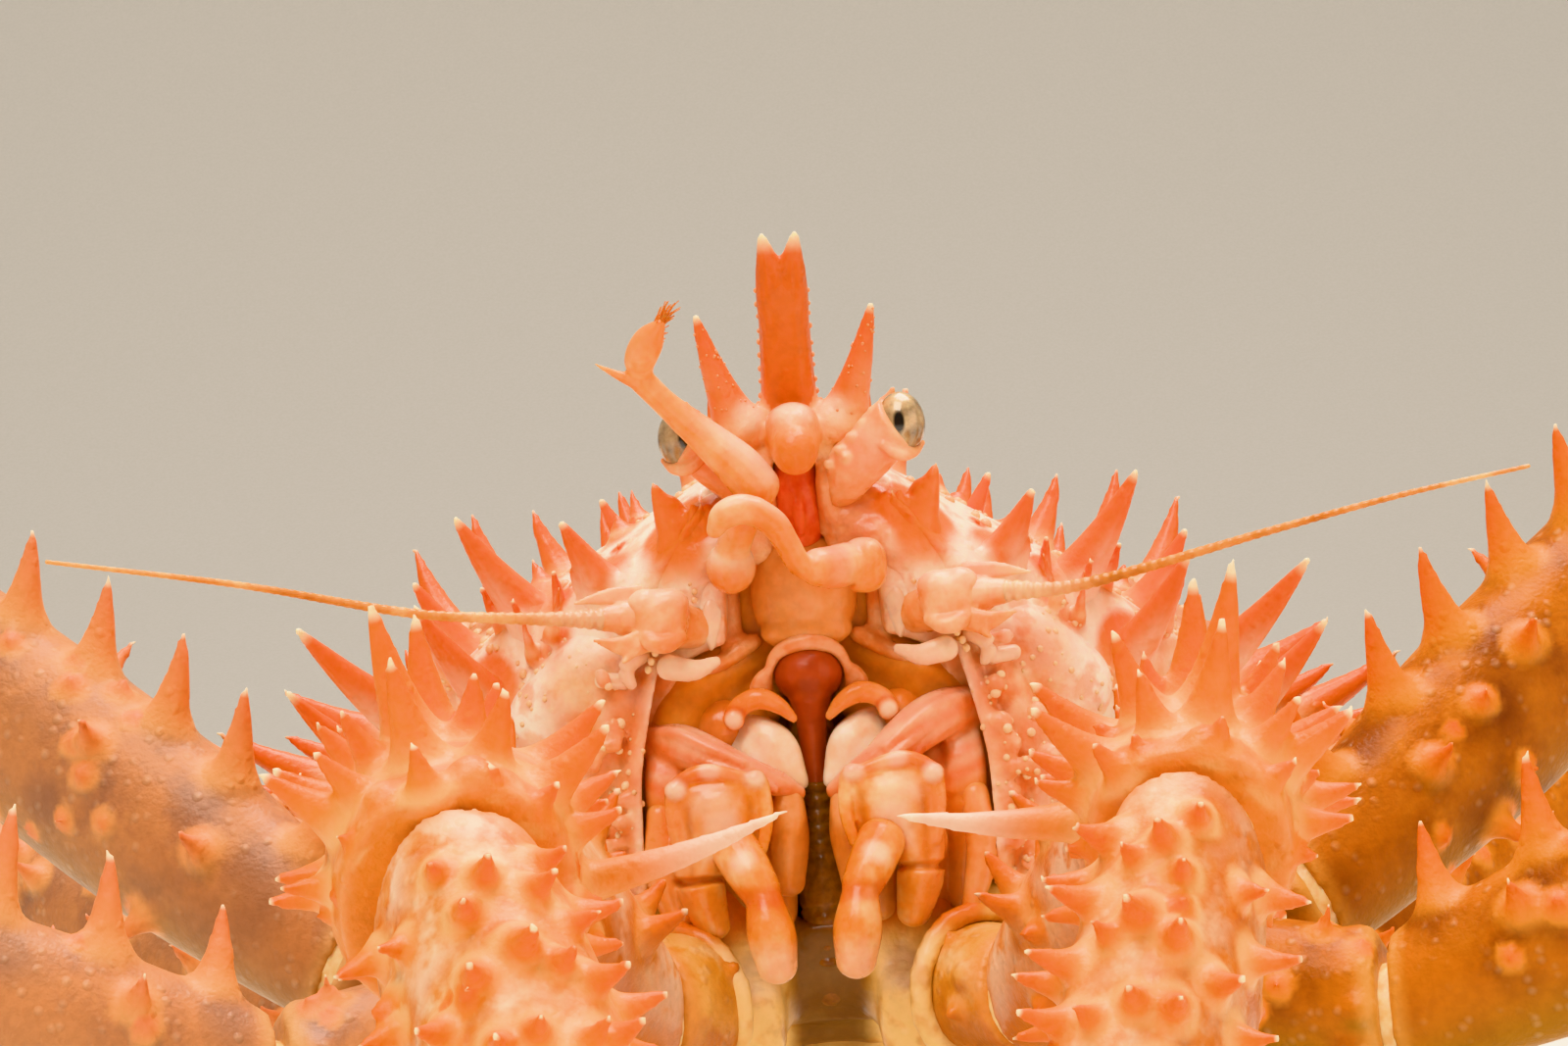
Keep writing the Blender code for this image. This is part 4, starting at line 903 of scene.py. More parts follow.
def carapaceThorns():
    # the spines of the face, then those of the back and the margin
    onFace, onBack = [], []
    for side in (1, -1):
        for root, tip, radius in faceThorns + smallThorns:
            onFace.append((facePoint(root, side), facePoint(tip, side), radius))
        strewn = strewnThorns(carapace["extraThorns"] // 2, 11 + side)
        for along, across, length, radius, lean, spread in list(backThorns) + strewn:
            height = float(backHeight(along, across))
            root = bodyPoint(along, across * side, height)
            aim = bodyPoint(along + lean * length, (across + spread * length) * side, height + length)
            onBack.append((root, root + unit(aim - root) * length, radius))
        for along, length, radius, lean in marginThorns:
            _, width, _, margin = stationAt(along)[:4]
            root = bodyPoint(along, (width - 1) * side, margin + 1)
            aim = bodyPoint(along + lean * length, (width + length) * side, margin + 0.55 * length)
            onBack.append((root, root + unit(aim - root) * length, radius))
    return onFace, onBack


def markCarapace(item, thorns):
    markThorns(item, thorns, spread=2)
    coords, normals = coordsOf(item), normalsOf(item)
    share, cover, valley = (readMark(item, name) for name in ("thornShare", "thornCover", "valley"))
    x, y, z = abs(coords[:, 0]), coords[:, 1], coords[:, 2] - faceHeight
    onShaft = ramp(8.8, 10, z) * (x < 3.2) * (y < 3) * (cover < 0.5)
    share = np.where(onShaft > 0, 0.25 + ((z - 9) / 15.4).clip(0, 1) * 0.745, share)
    lit = ramp(0.1, -0.7, normals[:, 2]) * ramp(22, 16, y) * ramp(0.75, 0.35, share)
    cover = cover * (1 - 0.45 * lit)  # painted light: spines paler on their lower side, towards the mouth
    # furrow: painted shade along the back's furrows
    furrow = np.zeros(len(coords))
    tower, pale = furrow.copy(), furrow.copy()
    for side in (1, -1):
        for first, last, _, half in backFurrows:
            ends = [bodyPoint(a, c * side, float(backHeight(a, c))) for a, c in (first, last)]
            furrow = np.maximum(furrow, ramp(1.5 * half, 0.3 * half, distanceToLine(coords, *ends)[0]))
        away = faceLine(coords, (10.5, 0.8, -4), (10.6, 0.2, 1.6), side)
        tower = np.maximum(tower, ramp(3.8, 2.6, away) * ramp(-5.5, -1.5, z))
        tower = np.maximum(tower, ramp(2, 1.2, faceLine(coords, (8.6, 0.4, -1.4), (7.9, -0.4, 1.2), side)))
        edge = faceLine(coords, (12.3, -1.6, -11), (14.9, -2.6, -28), side)
        # painted highlights along the flap's sharp edge and on the rostrum's shoulders
        pale = np.maximum(pale, 0.6 * ramp(1.3, 0.3, edge))
        pale = np.maximum(pale, 0.5 * ramp(1.9, 0.8, awayFrom(coords, (3.6, -1.2, 9.3), side)))
        for place, size, amount in palePlaces:
            pale = np.maximum(pale, amount * ramp(size, size * 0.5, awayFrom(coords, place, side)))
        for place in flap["pearls"]:
            tower = np.maximum(tower, 0.55 * ramp(2.1, 0.7, awayFrom(coords, place, side, (1, 0.4, 1))))
    # The back: its own browner, yellower orange, darkened further as painted shade where the top lamp
    # falls, most in the furrows
    behind = ramp(14, 42, y) * (1 - cover)
    basal = faceLine(coords, (0, -3, 7.4), (0, -8, 6.6))
    # top: painted highlight on the top of the basal spine
    top = awayFrom(coords, (0.1, -6.2, 9.4))
    # painted shade on the rostrum's forward-facing side
    shaftShade = onShaft * 0.4 * ramp(0.2, -0.6, normals[:, 1]) * ramp(23.6, 21, z)
    lining = 0.8 * ramp(8.5, 7, x) * ramp(2.2, 3.2, y) * ramp(12, 9, y) * ramp(0, -3, z)
    cheek = ramp(-8, -11, z) * ramp(25, 21, x) * ramp(12, 9, y)  # folds beside the mouth stay orange
    middle = ramp(9, 6, x) * ramp(4, 2, y)
    fold = ramp(-10, -12.5, z) * ramp(11, 12.5, x) * ramp(23, 20, x) * ramp(9, 6, y)
    for weight, where in ((0.6, cheek), (0.85, middle), (0.6, ramp(14, 40, y)), (0.35, fold)):
        valley = valley * (1 - weight * where)
    for name, values in (
            ("thornShare", share),
            ("thornCover", np.maximum(cover, onShaft)),
            # painted shade on the rostrum's front, the back and its furrows
            ("shade", np.maximum(shaftShade, behind * (0.58 + 0.34 * furrow))),
            ("glow", tower),  # saturated towers by the eyes
            ("cleft", ramp(2.4, 1.3, faceLine(coords, (0, 0.4, 3), (0, 1, -1.6)))),
            ("amber", np.maximum(ramp(3.2, 2.4, basal) * ramp(8.6, 6.8, z), 0.6 * behind)),
            # pale places, with painted highlights on the shoulders, the flap's edge and the basal spine's
            # top
            ("bone", np.maximum(pale, 0.75 * ramp(2.4, 0.6, top))),
            ("valley", (1.15 * valley).clip(0, 1)),
            ("lining", np.maximum(lining, 0.45 * ramp(3, 2, basal) * ramp(8.4, 5.6, z)))):
        mark(item, name, values)


def makeCarapace():
    below = halfSpace(shellLine(), -120, carapace["shellEdge"])
    base = cutForm(loft(bodyRings()), [mouthCavity(), below, hollow(carapace["faceHollow"])])
    onFace, onBack = carapaceThorns()
    shell = fuse("carapaceShell", [base] + [thorn(*values) for values in onBack], carapace["voxel"],
                 carapace["easing"])
    forms = rostrumForms() + faceWallForms() + flapForms() + [thorn(*values) for values in onFace]
    face = fuse("carapaceFace", forms, carapace["faceVoxel"], carapace["easing"])
    for item in (shell, face):
        markCarapace(item, onFace + onBack)
    dress(shell, shellSkin, "carapace_shell", "carapace")
    dress(face, shellSkin, "carapace_shell")
    return shell, face


def strewStuds(name, item, values, keep, material, slot):
    # granules strewn over a piece's surface where keep(coords, normals) allows them
    count, seed, low, high, tint = values
    coords, normals = coordsOf(item), normalsOf(item)
    allowed = np.flatnonzero(keep(coords, normals))
    draw = np.random.default_rng(seed)
    chosen = draw.choice(allowed, min(count, len(allowed)), replace=False)
    beads = makeItem(name, studs(coords[chosen], normals[chosen], draw.uniform(low, high, len(chosen))))
    mark(beads, "stud", tint)
    dress(beads, material, slot)


def beadRow(places, tree, sizes):
    # domes on the surface nearest to the given places
    spots, normals = [], []
    for place in places:
        where, normal, _, _ = tree.find_nearest(Vector((np.array(place) + originShift) * mm))
        spots.append(np.array(where) / mm - originShift)
        normals.append(np.array(normal))
    return studs(spots, normals, sizes, 0.9, 10)


def rostrumBeads(tree):
    # fine denticles on both edges of the rostrum and on the spines beside it
    places, sizes = [], []
    draw = random.Random(5)
    root, fork = np.array(rostrum["root"]), np.array((0, -5.6, 21))
    low, tip = (np.array(end) for end in faceThorns[0][:2])
    for side in (1, -1):
        for k in range(rostrum["denticles"]):
            t = 0.12 + 0.085 * k
            aside = (2.4 * side, draw.uniform(-0.5, 0.1), draw.uniform(-0.2, 0.2))
            places.append(facePoint(root * (1 - t) + fork * t + aside))
            sizes.append(draw.uniform(0.2, 0.28))
        for _ in range(rostrum["sideDenticles"]):
            t = draw.uniform(0.1, 0.85)
            aside = (draw.uniform(-2, 2), draw.uniform(-2, 0), draw.uniform(-1, 1))
            places.append(facePoint(low + (tip - low) * t + aside, side))
            sizes.append(draw.uniform(0.09, 0.16))
    return beadRow(places, tree, sizes)


def flapBeads(tree):
    # white pearls in rows on the folds beside the mouth
    places = [facePoint(p, side) for p in flap["pearls"] for side in (1, -1)]
    return beadRow(places, tree, flap["pearlSizes"] * 2)


def makeCarapaceBeads(shell, face):
    tree = BVHTree.FromObject(face, bpy.context.evaluated_depsgraph_get())
    for name, forms, tint, cover in (("rostrumDenticles", rostrumBeads(tree), 0.3, 1),
                                     ("facePearls", flapBeads(tree), 0.8, 0)):
        beads = makeItem(name, forms)
        for part, amount in (("stud", tint), ("thornCover", cover), ("thornShare", 0.6)):
            mark(beads, part, amount)
        dress(beads, shellSkin, "carapace_shell")
    bareShell, bareFace = (readMark(item, "thornCover") < 0.3 for item in (shell, face))

    def onBack(coords, normals):
        return (coords[:, 1] > 6) & (normals[:, 2] > 0.1) & (coords[:, 2] > 60) & bareShell

    def onCheek(coords, normals):
        return (abs(coords[:, 0]) > 9) & (coords[:, 1] < 22) & (normals[:, 1] < 0.1) & bareFace

    strewStuds("backGranules", shell, carapace["backGranules"], onBack, shellSkin, "carapace_shell")
    strewStuds("cheekGranules", face, carapace["cheekGranules"], onCheek, shellSkin, "carapace_shell")


makeCarapaceBeads(*makeCarapace())
print("stage: carapace")

# The eyes

eye = {
    "voxel": 0.16,
    # the stalk's course and radii, the rim under the lens, warts on the upper edge and the small end spine
    "run": ((3, 3, 1.6), (3.7, 0.7, 2.9), (5, -0.6, 4.4), (6.5, -1.1, 5.7), (7.9, -1.5, 7), (9, -2, 7.8)),
    "radii": (1.7, 2.2, 2.4, 2.42, 2.45, 2.5),
    "rim": ((7.6, -3.7, 6), (8.8, -3.6, 5.1), (10.1, -2.6, 5.2), (11, -1.2, 6)),
    "warts": ((2.9, -1.9, 4.7), (4, -2.2, 5.8), (5.1, -2.3, 6.8), (6.1, -2.3, 7.9), (7, -2.2, 9),
              (4.4, -2.8, 5.2)),
    "wartSizes": (0.5, 0.62, 0.7, 0.6, 0.5, 0.42),
    "point": ((8.3, -1.4, 9.7), (8.9, -1.8, 10.9)),
}


def makeEye(sideName):
    side = sideOf[sideName]
    title = sideName.capitalize()
    forms = [faceSweep(eye["run"], eye["radii"], side, around=32, flat=0.94, ends=0.12, steps=6)]
    for place, size in zip(eye["warts"], eye["wartSizes"]):
        forms.append(faceBall(place, (size, size, size * 0.8), side, around=12, rows=8))
    forms.append(faceThorn(*eye["point"], side, radius=0.5, blunt=0.25))
    forms.append(faceSweep(eye["rim"], (0.4, 0.55, 0.5, 0.3), side))  # lip under the lens
    stalk = fuse("eyestalk" + title, forms, eye["voxel"], 5)
    coords = coordsOf(stalk)
    mark(stalk, "blush", 0.3 * ramp(3.5, 1, awayFrom(coords, (6.6, -3, 5.6), side)))
    wart = np.min([awayFrom(coords, place, side) for place in eye["warts"]], axis=0)
    mark(stalk, "stud", 0.6 * ramp(0.9, 0.4, wart))
    dress(stalk, stalkSkin, "appendage_cuticle", "eyestalk_" + sideName)
    turn = Vector(corneaLook["facing"]).to_track_quat("X", "Z").to_matrix()
    lens = faceBall(corneaLook["centre"], corneaLook["size"], side, turn, around=40, rows=28)
    lensSkin = corneaMaterial("clearLensEye" + title, side)
    dress(makeItem("cornea" + title, [lens]), lensSkin, "cornea", "cornea_" + sideName)


for sideName in sideOf:
    makeEye(sideName)
print("stage: eyes")

# The antennules: the right one is raised, the left one is folded across the face

antennule = {
    "voxel": 0.19,
    "bristles": 70,
    "bristleSize": (1.5, 0.07),  # length and radius in mm
    "raised": (
        ("ball", (-5.9, -2.4, -3.4), (2.15, 2.2, 2.3)),
        ("bar", ((-5.8, -3, -2.2), (-4.7, -4.8, 0.2), (-3.3, -5.4, 2.6)), (1.5, 1.45, 1.6)),
        ("bar", ((-3.2, -5.4, 3.2), (-4.6, -5.8, 5), (-6.6, -6.3, 7), (-8.7, -6.8, 9)),
         (2, 1.95, 1.65, 1.3)),
        ("bar", ((-8.6, -6.8, 8.9), (-10.4, -7.3, 10.7), (-12.1, -8, 12.6)), (1.35, 1.1, 1.1)),
        ("bar", ((-12, -8.2, 12.9), (-12.2, -9.2, 14.3), (-11.3, -10.8, 15.9), (-10.2, -12, 17.2)),
         (0.8, 1.35, 1.3, 0.45)),
        ("bar", ((-12, -8, 12.4), (-13.8, -8.4, 13.1), (-16, -9, 14.3)), (0.85, 0.45, 0.1)),
    ),
    "folded": (
        ("block", (5.3, -3.2, -4), (1.95, 2.2, 2.35), {"power": 2.5}),
        ("ball", (5.9, -4.9, -3.2), (1, 0.9, 1.3)),
        ("bar", ((4, -4.2, -3.8), (2.7, -5.8, -4), (1.4, -7.2, -3.9)), (1.85, 1.85, 1.65)),
        ("bar", ((0.8, -7.6, -4.2), (-0.2, -8.4, -3.4), (-1, -8.9, -1.8), (-2, -9.1, 0),
         (-3.6, -9.2, 1.2)), (0.95, 1.05, 1.1, 1.2, 1.25)),
        ("bar", ((-3.4, -9.2, 1.1), (-4.8, -9.2, 1.4), (-6.2, -9.1, 0.9), (-7, -8.6, -0.2)),
         (1.25, 1.3, 1.2, 0.75)),
    ),
}


def bristles(places, aims, length, radius):
    forms = []
    for place, aim in zip(places, aims):
        middle = place + unit(aim) * length * 0.5 + np.array((0, 0, 0.08 * length))
        run = (place, middle, place + unit(aim) * length)
        forms.append(sweep(run, (radius, radius * 0.7, radius * 0.25), 2, 5))
    return forms


def makeAntennules():
    item = fuse("antennuleRight", formsOf(antennule["raised"]), antennule["voxel"], 3)
    height = heightOf(item)
    mark(item, "blush", 0.2 * ramp(-2, -4, height))
    # painted highlight on the upward-facing side of the raised antennule
    mark(item, "bone", 0.75 * ramp(-0.3, 0.7, normalsOf(item)[:, 2]) * ramp(11, 7, height))
    mark(item, "amber", 0.7 * ramp(13.6, 16, height))
    dress(item, antennuleSkin, "appendage_cuticle", "antennule_right")
    item = fuse("antennuleLeft", formsOf(antennule["folded"]), antennule["voxel"], 3)
    across, back, _ = coordsOf(item).T
    mark(item, "blush", 0.55 * ramp(2.6, 1.2, awayFrom(coordsOf(item), (2.4, -6.4, -3.9))))
    mark(item, "amber", 0.65 * ramp(0.6, -0.6, across) * ramp(-4.8, -2.6, across))
    # painted highlight on the upward-facing side of the folded antennule
    mark(item, "bone", 0.5 * ramp(0.1, 0.9, normalsOf(item)[:, 2]))
    mark(item, "cleft", 0.6 * ramp(0.7, 0.2, abs(across - 3.9)) * ramp(-6, -4.5, back))
    dress(item, antennuleSkin, "appendage_cuticle", "antennule_left")
    draw = random.Random(9)
    places, aims = [], []
    tipRun = antennule["raised"][4][1][1:]  # the last joint of the raised one carries the bristles
    run = smoothRun([facePoint(p) for p in tipRun], 30)
    for _ in range(antennule["bristles"]):
        place = run[draw.randrange(len(run))]
        aim = np.array((0.75 + draw.uniform(-0.5, 0.4), draw.uniform(-0.9, 0.1), 0.7))
        places.append(place + unit(aim) * 0.9)
        aims.append(aim)
    hairs = makeItem("antennuleBristles", bristles(places, aims, *antennule["bristleSize"]))
    dress(hairs, hairSkin, "appendage_cuticle")


makeAntennules()

# The antennae

antenna = {
    "voxel": 0.19,
    "knob": (
        ("block", (12.3, -1.8, -7.3), (2.55, 2.6, 2.5), {"power": 2.6}),
        ("bar", ((8.7, 1.3, -8.5), (11, -0.6, -8)), (1.8, 2.1)),
        ("bar", ((10.5, -3.4, -8.9), (11.7, -4.2, -9.5), (13.1, -4.1, -9.2), (14.3, -3, -8.2)),
         (0.6, 0.8, 0.8, 0.6)),
        ("ball", (11.3, -2.6, -6.2), (1.7, 1.6, 1.4)),
        ("ball", (13.3, -2.7, -6), (1.6, 1.5, 1.3)),
    ),
    "tube": (
        ("bar", ((14.2, -2.2, -7.2), (15.6, -2.6, -7.1)), (1.6, 1.45), {"ends": 0.4}),
        ("bar", ((15.9, -2.7, -7.05), (17.1, -3, -7.05)), (1.25, 1.05), {"ends": 0.4}),
        ("bar", ((13.4, -3.4, -9), (15.2, -4.2, -9.4), (17.8, -4.4, -8.8)), (1.15, 0.95, 0.16),
         {"flat": 0.5}),
        ("thorn", (14.6, -4, -9.8), (15.6, -4.8, -10.9), {"radius": 0.5}),
        ("bar", ((14, -1, -5.2), (16.6, -1.6, -5.2), (19.4, -2.2, -5.6)), (0.9, 0.7, 0.2),
         {"flat": 0.45}),
    ),
    "plates": (
        ("bar", ((7.7, -1.1, -11.3), (9.6, -2, -11.9), (11.8, -2.2, -11.5)), (0.5, 0.95, 1.15),
         {"flat": 0.6}),
        ("plate", ((7.3, 0.2, -5.4), (8.4, -0.4, -6.4), (8.7, -0.4, -8.6), (8.1, 0, -10.5),
         (7.2, 0.2, -8.8), (6.8, 0.4, -6.6)), 0.7),
        ("bar", ((13.8, -1.2, -10.4), (15.4, -1.6, -11.4), (15, -1.4, -12.8)), (0.6, 0.75, 0.5)),
        ("bar", ((15.6, -0.6, -12.5), (17.6, 0.2, -12.3)), (0.75, 0.7)),
    ),
    "pearls": ((12.8, -2.4, -10.2), (13.2, -2.3, -10.9), (13.5, -2.2, -11.6)),
    "pearlSize": (0.32, 0.3, 0.36),
    "whips": {
        "left": ((17.1, -3.05, -7.05), (24, -5, -6.8), (39.4, -10, -3.4), (50, -13.5, -1.2),
                 (60, -16.5, 0.4)),
        "right": ((17.1, -3.05, -7.05), (24.5, -5.4, -6.4), (33, -8, -5.3), (46, -15.5, -2),
                  (60.5, -24.5, 1)),
    },
    "ringPitch": 0.85,  # mm between the rings of the whip
}


def makeAntenna(sideName):
    side = sideOf[sideName]
    title = sideName.capitalize()
    item = fuse("antenna" + title, formsOf(antenna["knob"], side), antenna["voxel"], 5)
    crease = faceLine(coordsOf(item), (11.3, -4.6, -8.6), (13.5, -4.6, -8.7), side)
    mark(item, "glow", 0.55 * ramp(0.55, 0.15, crease))
    mark(item, "bone", 0.5 * ramp(-7, -4.8, heightOf(item)))
    dress(item, cuticleSkin, "appendage_cuticle", "antenna_" + sideName)
    item = fuse("antennaTube" + title, formsOf(antenna["tube"], side), antenna["voxel"], 2)
    mark(item, "bone", 0.3 * ramp(-8, -6, heightOf(item)))
    dress(item, cuticleSkin, "appendage_cuticle")
    item = fuse("antennaPlates" + title, formsOf(antenna["plates"], side), antenna["voxel"], 2)
    mark(item, "bone", 0.55)
    dress(item, cuticleSkin, "appendage_cuticle")
    pearls = [ball(facePoint(p, side), antenna["pearlSize"], None, 12, 8) for p in antenna["pearls"]]
    item = makeItem("antennaPearls" + title, pearls)
    mark(item, "stud", 0.8)
    dress(item, cuticleSkin, "appendage_cuticle")
    run = smoothRun([facePoint(p, side) for p in antenna["whips"][sideName]], 90)
    travelled = distanceAlong(run)
    radii = 0.17 + 0.36 * (1 - travelled / travelled[-1]) ** 1.1 + 0.45 * np.exp(-travelled / 3.5)
    radii *= 1 + 0.07 * np.sin(2 * math.pi * travelled / antenna["ringPitch"])
    item = makeItem("flagellum" + title, [sweep(run, radii, 1, 10)])
    mark(item, "bone", 0.3 * ramp(26, 18, abs(coordsOf(item)[:, 0])))
    dress(item, whipSkin, "appendage_cuticle", "flagellum_" + sideName)


for sideName in sideOf:
    makeAntenna(sideName)
print("stage: antennae")

# The mouth

mouth = {
    "voxel": 0.22,
    "lip": (
        ("ball", (0, 1, -12.9), (3, 2.9, 2.55)),
        ("bar", ((0, 0.4, -14.6), (0, 1.4, -17.6), (0, 1.8, -22.5)), (1.9, 1.3, 1)),
    ),
    "rim": ((-3.3, 1, -14.4), (-3.35, 0.2, -12.6), (-2.4, -0.2, -10.9), (0, -0.4, -10.2),
            (2.4, -0.2, -10.9), (3.35, 0.2, -12.6), (3.3, 1, -14.4)),
    "rimRadii": (0.3, 0.42, 0.62, 0.8, 0.62, 0.42, 0.3),
    "lobe": ((3.2, 0.6, -11.9), (4.4, 0.6, -12.6), (5.1, 0.9, -13.8), (4.6, 0.8, -14.5), (3.2, 0.6, -14.2)),
    "shield": (
        ("block", (0.1, 2.4, -5.8), (4.6, 3.3, 5), {"power": 2.4}),
        ("ball", (0.1, 1, -9.2), (4, 1.8, 1.8)),
    ),
    "cleft": (
        ("bar", ((0.1, 1.2, 4.6), (0.1, 0.4, 2), (0.2, 1, -0.6), (0.3, 2.4, -2.6)), (1.9, 2, 1.9, 1.4),
         {"up": (0, -1, 0)}),
        ("bar", ((0.1, -1, 3), (0.1, -1.8, 1.2), (0.2, -1.4, -0.9)), (0.3, 0.55, 0.4)),
    ),
    "backWall": (
        ("block", (0, 5.4, -7.4), (7.8, 2.6, 4.8), {"power": 3}),
    ),
    "sideWalls": (
        ("bar", ((3.6, 4.6, -11.2), (7.6, 3.8, -12.4), (10.8, 2.8, -15.2), (12.4, 2.2, -20)),
         (2, 2.7, 2.8, 2.2)),
        ("bar", ((4.4, 5.2, -15), (8, 4.4, -17), (11.4, 3.4, -21), (12, 3.6, -30)),
         (2.6, 3.2, 2.8, 2.6)),
        ("bar", ((5.6, 4.4, -22), (6.6, 3.8, -28), (6.8, 3.6, -34.6)), (3.6, 3.8, 3)),
    ),
    "throat": (
        ("bar", ((0, 4.6, -17), (0, 3.2, -23), (0, 3, -28), (0, 2.8, -34), (0, 3.6, -40)),
         (2, 2, 2.2, 2.2, 1.8)),
    ),
    "folds": 13, "foldPitch": 1.25,  # cross folds of the throat, and mm between them
    "mandible": (
        ("plate", ((5.3, 0.6, -16), (3.9, -0.3, -16.3), (2.2, -0.9, -17.4), (1.3, -1.2, -18.8),
         (0.9, -1.2, -20.6), (0.8, -1.1, -22.6), (3, -0.5, -22.4), (5.8, 0.6, -21.4),
         (7.4, 1.2, -18.9), (6.6, 1.2, -17)), 1.7, {"crown": 0.35}),
        ("block", (5, 2.6, -19.4), (3, 2.2, 2.6)),
    ),
    "palp": (
        ("bar", ((1.5, -1.3, -16.6), (2.7, -1.6, -15.4), (4.3, -1.5, -14.7), (5.9, -1.1, -15.2),
         (6.6, -0.9, -16)), (0.4, 0.75, 0.95, 0.92, 0.85)),
        ("ball", (6.55, -1.2, -16.3), (0.95, 0.9, 1)),
        ("ball", (7.6, 1.8, -17.2), (2.6, 2.2, 2.6)),
    ),
    "innerHold": {"left": (1.2, 1.3), "right": (0, 1.1)},  # lift and girth: the pair isn't held level
    "innerLegs": (
        ("bar", ((12.6, 1.6, -18.4), (12.7, 0.4, -22), (12.6, 0.2, -27), (12, 0.8, -33)),
         (1.6, 1.9, 1.8, 1.5), {"square": 2.8}),
        ("bar", ((10.4, 2.2, -19.4), (10.2, 0.8, -22.4), (9.9, 0.6, -27), (9.6, 1, -32.4)),
         (1.2, 1.5, 1.5, 1.3), {"square": 2.8}),
    ),
    "nearLegs": (
        ("bar", ((2.5, -1.6, -22.8), (2.5, -2.2, -26), (2.9, -2.6, -30.4)), (1.3, 1.6, 1.3),
         {"square": 2.8}),
        ("bar", ((3.6, 0.4, -22.8), (4.2, 0.4, -27), (4.2, 0.8, -33)), (1.8, 2.2, 1.9),
         {"square": 2.8}),
    ),
    "boxShift": {"left": -1.1, "right": 0.9},  # sideways: neither is held quite straight
    "box": (
        ("block", (7.4, -2.6, -24.4), (3.9, 3, 3.9), {"power": 3.6, "turn": 12}),
        ("block", (7.4, -4.2, -24.4), (2.9, 2.1, 3), {"power": 2.4, "turn": 12}),
        ("bar", ((11.2, -4.4, -21.9), (10, -5, -20.8), (8.2, -5.2, -20.4), (5.6, -5.2, -21),
         (3.7, -4.8, -21.8)), (0.75, 0.65, 0.7, 0.6, 0.75)),
        ("bar", ((11.2, -4.4, -22.2), (11.3, -4.9, -24.6), (10.9, -4.8, -27.4)), (0.75, 0.65, 0.5)),
        ("bar", ((3.6, -4.8, -22), (3.4, -5.4, -24.6), (4, -5.6, -27.2)), (0.65, 0.6, 0.5)),
        ("ball", (11, -4.9, -21.8), (0.95, 0.9, 0.9)),
        ("ball", (4.2, -5.2, -21.3), (0.95, 0.8, 0.8)),
        ("ball", (10.4, -2.6, -27.6), (1.5, 1.6, 2.2)),
        ("bar", ((9.2, -3, -26.2), (9.4, -3.4, -30), (8.6, -2.8, -33.6)), (2.3, 2, 1.4),
         {"square": 2.6}),
    ),
    "boxPalp": (
        ("bar", ((13.4, -1, -24), (13.6, -1.8, -29), (12.4, -2, -33.6)), (1.2, 1.4, 0.9)),
    ),
    "club": (
        ("bar", ((6.2, -5.6, -27.2), (5.2, -7, -29), (4.3, -7.8, -30.6)), (2.1, 2, 1.75),
         {"up": (0, -1, 0)}),
        ("bar", ((4.1, -8.2, -31.4), (3.7, -8.8, -34.2), (3.4, -8.6, -36.8)), (1.6, 2.1, 1.75),
         {"up": (0, -1, 0)}),
        ("ball", (5.6, -7, -28), (1.2, 1, 1.2)),
    ),
}


def makeLip():
    voxel = mouth["voxel"]
    dress(fuse("labrumDome", formsOf(mouth["lip"]), voxel, 3), labrumSkin, "labrum", "labrum")
    rim = [faceSweep(mouth["rim"], mouth["rimRadii"])]
    rim += [plate(mouth["lobe"], 1.1, side) for side in (1, -1)]
    dress(fuse("labrumRim", rim, voxel, 3), rimSkin, "labrum")
    dress(fuse("faceShield", formsOf(mouth["shield"]), voxel, 4), shieldSkin, "carapace_shell")
    dress(fuse("cleftMembrane", formsOf(mouth["cleft"]), voxel, 3), cleftSkin, "carapace_shell")
    walls = formsOf(mouth["backWall"]) + formsOf(mouth["sideWalls"], 1) + formsOf(mouth["sideWalls"], -1)
    item = fuse("mouthWalls", walls, 0.5, 6)
    # painted shade: the walls darken deeper down the mouth
    mark(item, "shade", 0.3 * ramp(-21, -27, heightOf(item)))
    mark(item, "horn", 0.4 * ramp(-27, -34, heightOf(item)))
    dress(item, wallSkin, "carapace_shell")
    throat = formsOf(mouth["throat"])
    for k in range(mouth["folds"]):
        height = -22.6 - mouth["foldPitch"] * k
        fold = ((-1.9, 2.2, height + 0.5), (0, 0.9, height), (1.9, 2.2, height + 0.5))
        throat.append(faceSweep(fold, (0.3, 0.42, 0.3)))
    dress(fuse("mouthFloor", throat, 0.25, 2), throatSkin, "labrum")


def makeMandible(sideName):
    side = sideOf[sideName]
    title = sideName.capitalize()
    item = fuse("mandible" + title, formsOf(mouth["mandible"], side), mouth["voxel"], 3)
    dress(item, mandibleSkin, "mandible", "mandible_" + sideName)
    item = fuse("palp" + title, formsOf(mouth["palp"], side), mouth["voxel"], 2)
    bead = awayFrom(coordsOf(item), (6.6, -1.9, -16.4), side)
    mark(item, "bone", 0.6 * ramp(1, 0.5, bead))
    mark(item, "cleft", 0.5 * ramp(0.35, 0, abs(bead - 1.15)))
    mark(item, "amber", 0.6 * ramp(-16.8, -15.6, heightOf(item)))
    dress(item, innerSkin, "appendage_cuticle")


